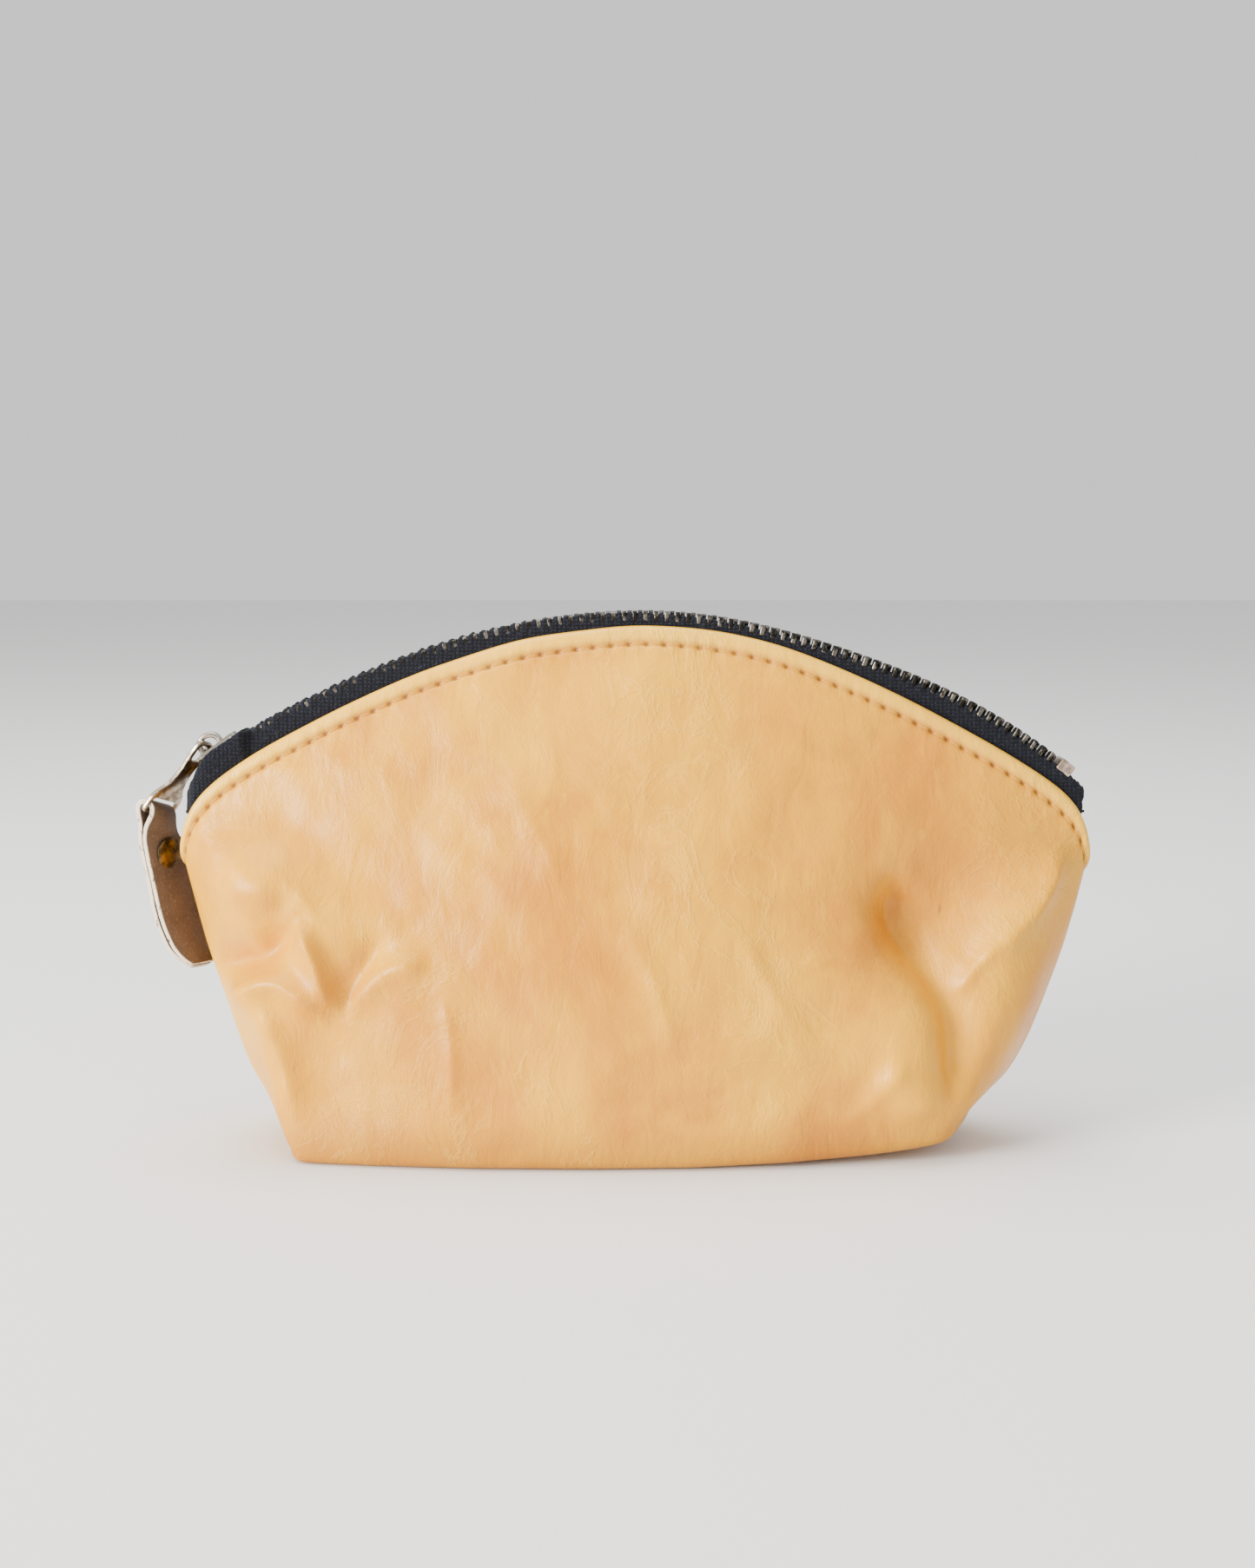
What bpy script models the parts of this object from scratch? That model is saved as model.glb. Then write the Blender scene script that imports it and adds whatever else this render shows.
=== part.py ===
"""Zippered leather pouch with a boxed base and a curved zip along the top.

Millimetre constants, metre output.  The origin is the centre of the base on the
floor, +X runs along the zip to its open end, -Y is the front, +Z is up.
"""
import bpy
import bmesh
import math
from mathutils import Matrix, Vector

MM = 0.001

# ---- the body of the pouch -------------------------------------------------
SEAM_GAP = 0.15        # half the gap between the front and the back at a seam
LEATHER = 1.2          # thickness of the leather
LINING = 0.5           # thickness of the lining cloth
LAYER_GAP = 0.3        # air between one layer and the next
LINING_GAP = 0.8       # the lining hangs a little more loosely
RIM_RADIUS = 148.0     # the leather edge beside the zip is an arc
RIM_CENTRE_Z = -28.4
RIM_HALF_X = 101.0
RIM_DEPTH = 5.5        # the edge stands this far in front of the middle plane
SIDE_BULGE = 8.4       # the sides swell outward half way up
WALL_BULGE = 6.0       # and so does the middle of the wall
BASE_HALF_X = 78.0
BASE_HALF_Y = 27.0
BASE_SEAM_HALF_X = 66.0
TURN_RADIUS = 5.0      # round between the wall and the base
HINGE_Z = 92.0         # the mouth folds open about a line at this height
LOWER_CUT_Z = 89.0     # top of the fixed part of each panel
MOUTH_CUT_Z = 87.5     # bottom of the folding part, tucked behind it
MOUTH_HALF_X = 85.5
EAR_HALF_X = 85.9      # beyond this the fixed panel reaches the rim
LINING_TOP_Z = 78.0
LINING_DROP = 10.0     # the lining starts this far below the rim

# ---- the zip ---------------------------------------------------------------
ZIP_RADIUS = 157.0
ZIP_CENTRE_Z = -36.2
TOOTH_PITCH = 2.4
TOOTH_LENGTH = 1.3
TOOTH_HALF_HEIGHT = 1.4
TOOTH_OUTER_Y = 3.0
TOOTH_INNER_Y = 0.45
CORD_HALF_HEIGHT = 0.6
CORD_OUTER_Y = 2.6
CORD_INNER_Y = 1.7
MOUTH_TEETH = 37       # teeth each side of the middle that move with the mouth
END_TEETH_START = 39   # the first tooth of the fixed ends
END_TEETH_LEFT = 5
END_TEETH_RIGHT = 4
TAPE_OUTER_Y = 2.5
TAPE_THICK = 0.6
TAPE_TOP = 1.7         # the tape stops this far inside the row of teeth
TAPE_WIDTH = 13.0
TAPE_HALF_X = 85.2
TAPE_END_FROM = 86.4
TAPE_END_TO = 98.6
TOP_STOP_ANGLE = -38.6
BOTTOM_STOP_FROM = 37.7
BOTTOM_STOP_TO = 39.1

# ---- the slider and its pull ----------------------------------------------
SLIDER_ANGLE = -36.4
SLIDER_LENGTH = 8.5
SLIDER_HALF_Y = 4.3
SLIDER_WALL = 0.9
PLATE_BOTTOM = 1.75
PLATE_TOP = 2.5
FLANGE_BOTTOM = -1.2
FLOOR_PLATE_TOP = -2.1
FLOOR_PLATE_BOTTOM = -3.0
FLOOR_PLATE_HALF_Y = 1.4
BLADE_HALF_Y = 0.2
BRIDGE_HALF_Y = 0.8
BRIDGE_THICK = 0.8
BRIDGE_TOP = 6.0
BRIDGE_REAR = -4.25
BRIDGE_FRONT = 1.3
PIVOT_U = -2.3
PIVOT_R = 4.0
TAB_END = (-109.0, 76.3)
TAB_THICK = 1.0
TAB_HEAD_HALF_Y = 2.7
TAB_FOOT_HALF_Y = 4.6
STRAP_THICK = 1.1
STRAP_GAP = 0.2
STRAP_HALF_Y = 6.0
STRAP_NECK_HALF_Y = 2.9
STRAP_TURN = -36.0
RIVET_HEIGHT_Z = 66.5

THREAD_RADIUS = 0.25
STITCH_INSET = 4.4

RIM_HALF_ANGLE = math.asin(RIM_HALF_X / RIM_RADIUS)
TOOTH_ANGLE = TOOTH_PITCH / ZIP_RADIUS

for old in list(bpy.data.objects):
    bpy.data.objects.remove(old, do_unlink=True)

pouch = bpy.data.collections.new("zippered_pouch")
bpy.context.scene.collection.children.link(pouch)
cutters = bpy.data.collections.new("cutters")
bpy.context.scene.collection.children.link(cutters)


def material(name, colour, roughness, metallic=0.0):
    """A plain Principled material."""
    mat = bpy.data.materials.new(name)
    mat.use_nodes = True
    shader = mat.node_tree.nodes["Principled BSDF"]
    shader.inputs["Base Color"].default_value = (*colour, 1.0)
    shader.inputs["Roughness"].default_value = roughness
    shader.inputs["Metallic"].default_value = metallic
    return mat


def body(name, points, faces, colour, roughness=0.5, metallic=0.0, home=pouch):
    """One closed solid from points in millimetres, with outward faces."""
    mesh = bpy.data.meshes.new(name)
    mesh.from_pydata([Vector(p) * MM for p in points], [], faces)
    tool = bmesh.new()
    tool.from_mesh(mesh)
    bmesh.ops.recalc_face_normals(tool, faces=tool.faces)
    tool.to_mesh(mesh)
    tool.free()
    thing = bpy.data.objects.new(name, mesh)
    home.objects.link(thing)
    thing.data.materials.append(material(name, colour, roughness, metallic))
    return thing


def smooth(value):
    """A soft step from 0 to 1."""
    value = min(1.0, max(0.0, value))
    return value * value * (3.0 - 2.0 * value)


# ---- the curved surface of a panel ----------------------------------------

EAR_S = math.asin(EAR_HALF_X / RIM_RADIUS) / RIM_HALF_ANGLE
MOUTH_S = math.asin(MOUTH_HALF_X / RIM_RADIUS) / RIM_HALF_ANGLE
JOIN_S = MOUTH_S * 0.5 + EAR_S * 0.5


def base_outline(count=400):
    """Half of the base outline, from the left side seam round to the right."""
    line = []
    for k in range(count + 1):
        turn = math.pi * (1.0 - k / count)
        cx = math.cos(turn)
        sy = math.sin(turn)
        x = BASE_HALF_X * math.copysign(abs(cx) ** 0.36, cx)
        y = -BASE_HALF_Y * abs(sy) ** 0.58
        line.append((x, min(y, -SEAM_GAP)))
    return line


OUTLINE = base_outline()
LENGTHS = [0.0]
for here, there in zip(OUTLINE[:-1], OUTLINE[1:]):
    LENGTHS.append(LENGTHS[-1] + math.dist(here, there))


def outline_point(s):
    """A point on the base outline, for s from -1 to 1."""
    want = (s + 1.0) / 2.0 * LENGTHS[-1]
    k = 0
    while k < len(LENGTHS) - 2 and LENGTHS[k + 1] < want:
        k += 1
    part = (want - LENGTHS[k]) / max(1e-9, LENGTHS[k + 1] - LENGTHS[k])
    x = OUTLINE[k][0] + (OUTLINE[k + 1][0] - OUTLINE[k][0]) * part
    y = OUTLINE[k][1] + (OUTLINE[k + 1][1] - OUTLINE[k][1]) * part
    return x, y


def outline_at(s):
    """A point on the base outline and the way inward; the two columns at the join share one way."""
    x, y = outline_point(s)
    if abs(s) > 0.999:
        return x, -SEAM_GAP, Vector((-math.copysign(1.0, s), 0.0, 0.0))
    from_x, from_y = x, y
    if abs(abs(s) - JOIN_S) < 0.005:
        from_x, from_y = outline_point(math.copysign(JOIN_S, s))
    inward = Vector((-from_x * 0.10 * abs(from_x / BASE_HALF_X) ** 8, -from_y, 0.0))
    return x, y, inward.normalized()


def rim_at(s):
    """A point on the leather edge beside the zip."""
    angle = s * RIM_HALF_ANGLE
    depth = 0.5 + (RIM_DEPTH - 0.5) * math.sqrt(max(0.0, 1.0 - abs(s) ** 30))
    if abs(s) > 0.999:
        depth = SEAM_GAP
    return Vector((
        RIM_RADIUS * math.sin(angle),
        -depth,
        RIM_CENTRE_Z + RIM_RADIUS * math.cos(angle)))


def wall_at(s, t):
    """The wall of the front panel: t is 0 at the rim and 1 at the base turn."""
    top = rim_at(s)
    x, y, inward = outline_at(s)
    rise = math.sin(math.pi * t)
    full = 1.0 - max(0.0, 1.0 - t) ** 1.35
    side = math.copysign(abs(s) ** 3, s) * SIDE_BULGE * max(0.0, rise) ** 0.6
    out = WALL_BULGE * rise * (1.0 - s * s)
    return Vector((
        top.x + (x - top.x) * t + side,
        min(-SEAM_GAP, top.y + (y - top.y) * full - out),
        top.z + (TURN_RADIUS - top.z) * t))


def drop_to(s, z):
    """The t at which a column of the wall comes down to a height."""
    top = rim_at(s).z
    return min(1.0, max(0.0, (top - z) / (top - TURN_RADIUS)))


def turn_and_base(s, turn_rows, base_rows):
    """The round under the wall and the flat half base, as one column."""
    x, y, inward = outline_at(s)
    column = []
    for k in range(1, turn_rows + 1):
        angle = math.pi / 2.0 * k / turn_rows
        reach = TURN_RADIUS * (1.0 - math.cos(angle))
        fall = TURN_RADIUS * (1.0 - math.sin(angle))
        limit = abs(y) - SEAM_GAP
        step = inward * reach
        if abs(s) < 0.999 and step.y > limit:
            step.y = limit
        column.append(Vector((x + step.x, y + step.y, fall)))
    last = column[-1]
    middle = Vector((BASE_SEAM_HALF_X * s, -SEAM_GAP, 0.0))
    for k in range(1, base_rows + 1):
        column.append(last.lerp(middle, k / base_rows))
    return column


def normals(grid):
    """Outward normals of a grid of points, averaged over its faces."""
    rows = len(grid)
    cols = len(grid[0])
    found = [[Vector((0.0, 0.0, 0.0)) for _ in range(cols)] for _ in range(rows)]
    for i in range(rows - 1):
        for j in range(cols - 1):
            one = grid[i + 1][j + 1] - grid[i][j]
            two = grid[i + 1][j] - grid[i][j + 1]
            face = two.cross(one)
            for a, b in ((i, j), (i + 1, j), (i, j + 1), (i + 1, j + 1)):
                found[a][b] += face
    for i in range(rows):
        for j in range(cols):
            if found[i][j].length > 1e-9:
                found[i][j].normalize()
        for j in range(cols - 1):
            # two columns side by side at the join share one normal, so their offsets can't cross
            if (grid[i][j + 1] - grid[i][j]).length < 1.5:
                shared = (found[i][j] + found[i][j + 1]).normalized()
                found[i][j] = shared.copy()
                found[i][j + 1] = shared
    return found


def shifted(grid, distance, seam_columns=True, base_row=False):
    """The same grid moved inward by a distance, kept on its own side."""
    ways = normals(grid)
    cols = len(grid[0])
    moved = []
    for i, row in enumerate(grid):
        line = []
        for j, point in enumerate(row):
            way = ways[i][j].copy()
            if seam_columns and j in (0, cols - 1):
                way.y = 0.0
                way.normalize()
            if base_row and i == len(grid) - 1:
                way = Vector((0.0, 0.0, -1.0))
            place = point - way * distance
            if point.z < 0.001:
                place.z = distance
            place.y = min(place.y, -SEAM_GAP)
            line.append(place)
        moved.append(line)
    return moved


def shell(name, outer, inner, colour, roughness, back=False):
    """A closed sheet between two matching grids."""
    rows = len(outer)
    cols = len(outer[0])
    points = [p.copy() for row in outer for p in row]
    points += [p.copy() for row in inner for p in row]
    if back:
        for p in points:
            p.y = -p.y
    size = rows * cols
    faces = []
    for i in range(rows - 1):
        for j in range(cols - 1):
            a = i * cols + j
            for three in ((a, a + 1, a + cols + 1), (a, a + cols + 1, a + cols)):
                faces.append(three)
                faces.append(tuple(size + k for k in reversed(three)))
    edge = [(0, j) for j in range(cols)]
    edge += [(i, cols - 1) for i in range(1, rows)]
    edge += [(rows - 1, j) for j in range(cols - 2, -1, -1)]
    edge += [(i, 0) for i in range(rows - 2, 0, -1)]
    for here, there in zip(edge, edge[1:] + edge[:1]):
        a = here[0] * cols + here[1]
        b = there[0] * cols + there[1]
        faces.append((a, b, size + b, size + a))
    return body(name, points, faces, colour, roughness)


LEATHER_COLOUR = (0.66, 0.40, 0.14)
LINING_COLOUR = (0.20, 0.15, 0.11)
TAPE_COLOUR = (0.018, 0.019, 0.028)
NICKEL = (0.42, 0.37, 0.29)
BRASS = (0.38, 0.27, 0.12)

def panel_columns():
    """Columns across a panel, closer together toward the side seams."""
    half = [0.0, 0.11, 0.22, 0.33, 0.44, 0.54, 0.63, 0.71, 0.78, JOIN_S - 0.0015]
    half += [JOIN_S + 0.0015, 0.88, 0.93, 0.965, 0.985, 1.0]
    return [-s for s in reversed(half[1:])] + half


def panel_grid(columns, wall_rows, turn_rows, base_rows, top_of):
    """Rows of points from the top edge down the wall and under to the seam."""
    lines = []
    for s in columns:
        start = top_of(s)
        line = [wall_at(s, start + (1.0 - start) * k / wall_rows) for k in range(wall_rows + 1)]
        line += turn_and_base(s, turn_rows, base_rows)
        lines.append(line)
    return [list(row) for row in zip(*lines)]


def panel_top(s):
    """The fixed panel stops low in the middle and reaches the rim at its ends."""
    if abs(s) < JOIN_S:
        return drop_to(s, LOWER_CUT_Z)
    return 0.0


def lining_top(s):
    """The lining has a level top edge."""
    return drop_to(s, LINING_TOP_Z)


outer_panel = panel_grid(panel_columns(), 8, 3, 3, panel_top)
inner_panel = shifted(outer_panel, LEATHER, base_row=True)
half_columns = [0.0, 0.12, 0.24, 0.36, 0.47, 0.57, 0.66, 0.74, 0.81, 0.87, 0.92, 0.96, 1.0]
lining_columns = [-s for s in reversed(half_columns[1:])] + half_columns
lining_base = panel_grid(lining_columns, 6, 3, 3, lining_top)
lining_outer = shifted(lining_base, LEATHER + LINING_GAP, base_row=True)
lining_inner = shifted(lining_base, LEATHER + LINING_GAP + LINING, base_row=True)

mouth_columns = [MOUTH_S * k / 11.0 for k in range(-11, 12)]
mouth_base = []
for row in range(6):
    line = []
    for s in mouth_columns:
        line.append(wall_at(s, drop_to(s, MOUTH_CUT_Z) * row / 5.0))
    mouth_base.append(line)
TUCK = LEATHER + LAYER_GAP
mouth_outer = shifted(mouth_base, TUCK, seam_columns=False)
mouth_inner = shifted(mouth_base, TUCK + LEATHER, seam_columns=False)

mouth_lining_columns = [0.56 * k / 7.0 for k in range(-7, 8)]
mouth_lining_base = []
for row in range(4):
    line = []
    for s in mouth_lining_columns:
        high = drop_to(s, rim_at(s).z - LINING_DROP)
        low = drop_to(s, MOUTH_CUT_Z)
        line.append(wall_at(s, high + (low - high) * row / 3.0))
    mouth_lining_base.append(line)
mouth_lining_outer = shifted(mouth_lining_base, TUCK + LEATHER + LAYER_GAP, seam_columns=False)
mouth_lining_inner = shifted(
    mouth_lining_base, TUCK + LEATHER + LAYER_GAP + LINING, seam_columns=False)

for side, back in (("front", False), ("back", True)):
    shell(side + "_panel", outer_panel, inner_panel, LEATHER_COLOUR, 0.38, back)
    shell(side + "_lining", lining_outer, lining_inner, LINING_COLOUR, 0.9, back)
    shell("mouth_panel_" + side, mouth_outer, mouth_inner, LEATHER_COLOUR, 0.38, back)
    shell("mouth_lining_" + side, mouth_lining_outer, mouth_lining_inner,
          LINING_COLOUR, 0.9, back)


# ---- tubes for threads -----------------------------------------------------

def tube(name, path, radius, colour, roughness, sides=5):
    """A closed round tube along a path."""
    points = []
    faces = []
    for k, place in enumerate(path):
        before = path[max(0, k - 1)]
        after = path[min(len(path) - 1, k + 1)]
        along = (after - before).normalized()
        across = along.cross(Vector((0.0, 1.0, 0.0)))
        if across.length < 0.1:
            across = along.cross(Vector((1.0, 0.0, 0.0)))
        across.normalize()
        third = along.cross(across)
        for m in range(sides):
            turn = 2.0 * math.pi * m / sides
            points.append(place + across * radius * math.cos(turn) + third * radius * math.sin(turn))
    for k in range(len(path) - 1):
        for m in range(sides):
            a = k * sides + m
            b = k * sides + (m + 1) % sides
            faces.append((a, b, b + sides, a + sides))
    faces.append(tuple(range(sides)))
    faces.append(tuple((len(path) - 1) * sides + m for m in reversed(range(sides))))
    return body(name, points, faces, colour, roughness)


THREAD_COLOUR = (0.50, 0.25, 0.07)


def stitch_line(s_from, s_to, count, lift, back):
    """A line of topstitching below the rim, just proud of the leather."""
    path = []
    for k in range(count + 1):
        s = s_from + (s_to - s_from) * k / count
        t = drop_to(s, rim_at(s).z - STITCH_INSET)
        place = wall_at(s, t)
        below = wall_at(s, t + 0.03)
        beside = wall_at(s + 0.02, t)
        way = (below - place).cross(beside - place).normalized()
        if way.y > 0:
            way = -way
        place = place + way * lift
        if back:
            place.y = -place.y
        path.append(place)
    return path


for side, back in (("front", False), ("back", True)):
    tube("topstitch_" + side, stitch_line(-MOUTH_S * 0.94, MOUTH_S * 0.94, 40, 0.35 - TUCK, back),
         THREAD_RADIUS, THREAD_COLOUR, 0.7)

for side, sign in (("left", -1.0), ("right", 1.0)):
    seam = []
    for k in range(13):
        place = wall_at(sign, 0.08 + 0.86 * k / 12.0)
        seam.append(Vector((place.x - sign * 4.4, 0.0, place.z)))
    tube("side_seam_thread_" + side, seam, 0.3, THREAD_COLOUR, 0.7)
seam = [Vector((x, 0.0, 3.0)) for x in (-64.0, -32.0, 0.0, 32.0, 64.0)]
tube("base_seam_thread", seam, 0.3, THREAD_COLOUR, 0.7)


# ---- the zip: teeth, tapes and stops --------------------------------------

def on_arc(angle, r, y):
    """A point at an angle on the arc of the zip, r outside its mean radius."""
    return Vector((
        (ZIP_RADIUS + r) * math.sin(angle),
        y,
        ZIP_CENTRE_Z + (ZIP_RADIUS + r) * math.cos(angle)))


def ring(angle, low, high, y_from, y_to):
    """Four corners of a section across the zip."""
    return [
        on_arc(angle, low, y_from),
        on_arc(angle, high, y_from),
        on_arc(angle, high, y_to),
        on_arc(angle, low, y_to)]


def comb(name, centres, sign):
    """A row of teeth held by the cord at the edge of its tape."""
    half = TOOTH_LENGTH / ZIP_RADIUS / 2.0
    cord = (-CORD_HALF_HEIGHT, CORD_HALF_HEIGHT, sign * CORD_OUTER_Y, sign * CORD_INNER_Y)
    tooth = (-TOOTH_HALF_HEIGHT, TOOTH_HALF_HEIGHT, sign * TOOTH_OUTER_Y, sign * TOOTH_INNER_Y)
    rings = []
    rings.append(ring(centres[0] - half * 1.5, *cord))
    for centre in centres:
        rings.append(ring(centre - half, *cord))
        rings.append(ring(centre - half, *tooth))
        rings.append(ring(centre + half, *tooth))
        rings.append(ring(centre + half, *cord))
    rings.append(ring(centres[-1] + half * 1.5, *cord))
    points = [p for item in rings for p in item]
    faces = [(0, 1, 2, 3)]
    for k in range(len(rings) - 1):
        for m in range(4):
            a = 4 * k + m
            b = 4 * k + (m + 1) % 4
            faces.append((a, a + 4, b + 4, b))
    last = 4 * (len(rings) - 1)
    faces.append((last + 3, last + 2, last + 1, last))
    return body(name, points, faces, NICKEL, 0.35, 1.0)


for side, sign, shift in (("front", -1.0, 0.0), ("back", 1.0, 0.5)):
    row = [(k + shift) * TOOTH_ANGLE for k in range(-MOUTH_TEETH, MOUTH_TEETH + 1)]
    if shift:
        row = row[:-1]
    comb("zip_teeth_" + side, row, sign)
    row = [-(END_TEETH_START + k - shift) * TOOTH_ANGLE for k in range(END_TEETH_LEFT)]
    comb("zip_teeth_closed_end_" + side, row[::-1], sign)
    row = [(END_TEETH_START + k + shift) * TOOTH_ANGLE for k in range(END_TEETH_RIGHT)]
    comb("zip_teeth_open_end_" + side, row, sign)


def tape(name, xs, low_of, sign):
    """A flat woven strip hanging inside the leather from the row of teeth."""
    points = []
    top_radius = ZIP_RADIUS - TAPE_TOP
    for x in xs:
        high = ZIP_CENTRE_Z + math.sqrt(top_radius ** 2 - x * x)
        low = low_of(x)
        for z, y in (
                (high, TAPE_OUTER_Y),
                (high, TAPE_OUTER_Y - TAPE_THICK),
                (low, TAPE_OUTER_Y - TAPE_THICK),
                (low, TAPE_OUTER_Y)):
            points.append(Vector((x, sign * y, z)))
    faces = [(0, 1, 2, 3)]
    for k in range(len(xs) - 1):
        for m in range(4):
            a = 4 * k + m
            b = 4 * k + (m + 1) % 4
            faces.append((a, a + 4, b + 4, b))
    last = 4 * (len(xs) - 1)
    faces.append((last + 3, last + 2, last + 1, last))
    return body(name, points, faces, TAPE_COLOUR, 0.95)


def mouth_tape_low(x):
    """The lower edge of the moving tape follows the zip, then runs level."""
    arc = ZIP_CENTRE_Z + math.sqrt((ZIP_RADIUS - TAPE_WIDTH) ** 2 - x * x)
    return max(arc, HINGE_Z - 0.6)


def end_tape_low(x):
    """The fixed ends of the tape hang inside the side seams."""
    return 79.5


for side, sign in (("front", -1.0), ("back", 1.0)):
    tape("zip_tape_" + side, [TAPE_HALF_X * k / 20.0 for k in range(-20, 21)], mouth_tape_low, sign)
    span = TAPE_END_TO - TAPE_END_FROM
    xs = [TAPE_END_FROM + span * k / 5.0 for k in range(6)]
    tape("zip_tape_open_end_" + side, xs, end_tape_low, sign)
    tape("zip_tape_closed_end_" + side, [-x for x in reversed(xs)], end_tape_low, sign)


def arc_block(name, angle_from, angle_to, low, high, y_from, y_to, bevel):
    """A block that follows the zip."""
    points = ring(angle_from, low, high, y_from, y_to) + ring(angle_to, low, high, y_from, y_to)
    faces = [(0, 1, 2, 3), (7, 6, 5, 4)]
    for m in range(4):
        faces.append((m, m + 4, (m + 1) % 4 + 4, (m + 1) % 4))
    block = body(name, points, faces, NICKEL, 0.35, 1.0)
    soften = block.modifiers.new("edges", "BEVEL")
    soften.width = bevel * MM
    soften.segments = 2
    return block


stop = math.radians(TOP_STOP_ANGLE)
half_stop = 0.95 / ZIP_RADIUS
arc_block("top_stop_front", stop - half_stop, stop + half_stop, -1.3, 0.6, -3.0, -0.5, 0.35)
arc_block("top_stop_back", stop - half_stop, stop + half_stop, -1.3, 0.6, 0.5, 3.0, 0.35)
arc_block("bottom_stop", math.radians(BOTTOM_STOP_FROM), math.radians(BOTTOM_STOP_TO),
          -1.3, 1.5, -3.2, 3.2, 0.45)


# ---- the slider ------------------------------------------------------------

REST = math.radians(SLIDER_ANGLE)
ALONG = Vector((math.cos(REST), 0.0, -math.sin(REST)))
OUTWARD = Vector((math.sin(REST), 0.0, math.cos(REST)))
SLIDER_CENTRE = on_arc(REST, 0.0, 0.0)


def slider_point(u, y, r):
    """Slider coordinates: along the zip, across it, and out from it."""
    return SLIDER_CENTRE + ALONG * u + OUTWARD * r + Vector((0.0, y, 0.0))


def slider_box(name, u, y, r, home=pouch):
    """A box between pairs of slider coordinates."""
    points = []
    for a in u:
        points += [
            slider_point(a, y[0], r[0]),
            slider_point(a, y[1], r[0]),
            slider_point(a, y[1], r[1]),
            slider_point(a, y[0], r[1])]
    faces = [(0, 1, 2, 3), (7, 6, 5, 4)]
    for m in range(4):
        faces.append((m, m + 4, (m + 1) % 4 + 4, (m + 1) % 4))
    return body(name, points, faces, NICKEL, 0.35, 1.0, home)


def outline_body(name, outline, place, half, colour, roughness, metallic, home=pouch):
    """A flat outline given thickness: place maps (a, b, side) to a point."""
    count = len(outline)
    points = [place(a, b, -half) for a, b in outline]
    points += [place(a, b, half) for a, b in outline]
    faces = [tuple(range(count)), tuple(reversed(range(count, 2 * count)))]
    for m in range(count):
        n = (m + 1) % count
        faces.append((m, n, n + count, m + count))
    return body(name, points, faces, colour, roughness, metallic, home)


def combine(target, other, way):
    """Join or cut with an exact boolean, keeping the tool as a cutter."""
    step = target.modifiers.new(other.name, "BOOLEAN")
    step.operation = way
    step.solver = "EXACT"
    step.object = other
    other.hide_render = True
    other.display_type = "WIRE"


# The channel has a roof and two lips; a blade carries the floor plate.
roof = [
    (-SLIDER_HALF_Y, FLANGE_BOTTOM),
    (-SLIDER_HALF_Y, PLATE_TOP - 0.6),
    (-SLIDER_HALF_Y + 0.7, PLATE_TOP),
    (SLIDER_HALF_Y - 0.7, PLATE_TOP),
    (SLIDER_HALF_Y, PLATE_TOP - 0.6),
    (SLIDER_HALF_Y, FLANGE_BOTTOM),
    (SLIDER_HALF_Y - SLIDER_WALL, FLANGE_BOTTOM),
    (SLIDER_HALF_Y - SLIDER_WALL, PLATE_BOTTOM),
    (-SLIDER_HALF_Y + SLIDER_WALL, PLATE_BOTTOM),
    (-SLIDER_HALF_Y + SLIDER_WALL, FLANGE_BOTTOM)]
slider = outline_body(
    "slider_body", roof, lambda y, r, u: slider_point(u, y, r),
    SLIDER_LENGTH / 2.0, NICKEL, 0.35, 1.0)
blade = slider_box("slider_blade", (1.2, 3.8), (-BLADE_HALF_Y, BLADE_HALF_Y),
                   (FLOOR_PLATE_TOP - 0.3, PLATE_BOTTOM + 0.3), cutters)
floor = slider_box("slider_floor", (-3.9, 3.9), (-FLOOR_PLATE_HALF_Y, FLOOR_PLATE_HALF_Y),
                   (FLOOR_PLATE_BOTTOM, FLOOR_PLATE_TOP), cutters)
combine(slider, blade, "UNION")
combine(slider, floor, "UNION")

# The bridge is an arched bar over the pull tab's crossbar.
FOOT = PLATE_TOP + 0.08
arch = []
for k in range(13):
    turn = math.pi * (1.0 - k / 12.0)
    mid = (BRIDGE_REAR + BRIDGE_FRONT) / 2.0
    reach = (BRIDGE_FRONT - BRIDGE_REAR) / 2.0
    u = mid + reach * math.copysign(abs(math.cos(turn)) ** 0.6, math.cos(turn))
    r = FOOT + (BRIDGE_TOP - FOOT) * math.sin(turn) ** 0.6
    arch.append((u, r))
for k in range(12, -1, -1):
    turn = math.pi * (1.0 - k / 12.0)
    mid = (BRIDGE_REAR + BRIDGE_FRONT) / 2.0
    reach = (BRIDGE_FRONT - BRIDGE_REAR) / 2.0 - BRIDGE_THICK
    u = mid + reach * math.copysign(abs(math.cos(turn)) ** 0.6, math.cos(turn))
    r = FOOT + (BRIDGE_TOP - BRIDGE_THICK - FOOT) * math.sin(turn) ** 0.6
    arch.append((u, r))
outline_body("slider_bridge", arch, lambda u, r, y: slider_point(u, y, r),
             BRIDGE_HALF_Y, NICKEL, 0.35, 1.0)

# ---- the pull tab ----------------------------------------------------------

PIVOT = slider_point(PIVOT_U, 0.0, PIVOT_R)
FOOT_POINT = Vector((TAB_END[0], 0.0, TAB_END[1]))
TAB_WAY = (FOOT_POINT - PIVOT).normalized()
TAB_LENGTH = (FOOT_POINT - PIVOT).length
TAB_NORMAL = TAB_WAY.cross(Vector((0.0, 1.0, 0.0))).normalized()


def tab_point(along, across, high):
    """A point on the pull tab, measured from its pivot."""
    return PIVOT + TAB_WAY * along + Vector((0.0, across, 0.0)) + TAB_NORMAL * high


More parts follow.
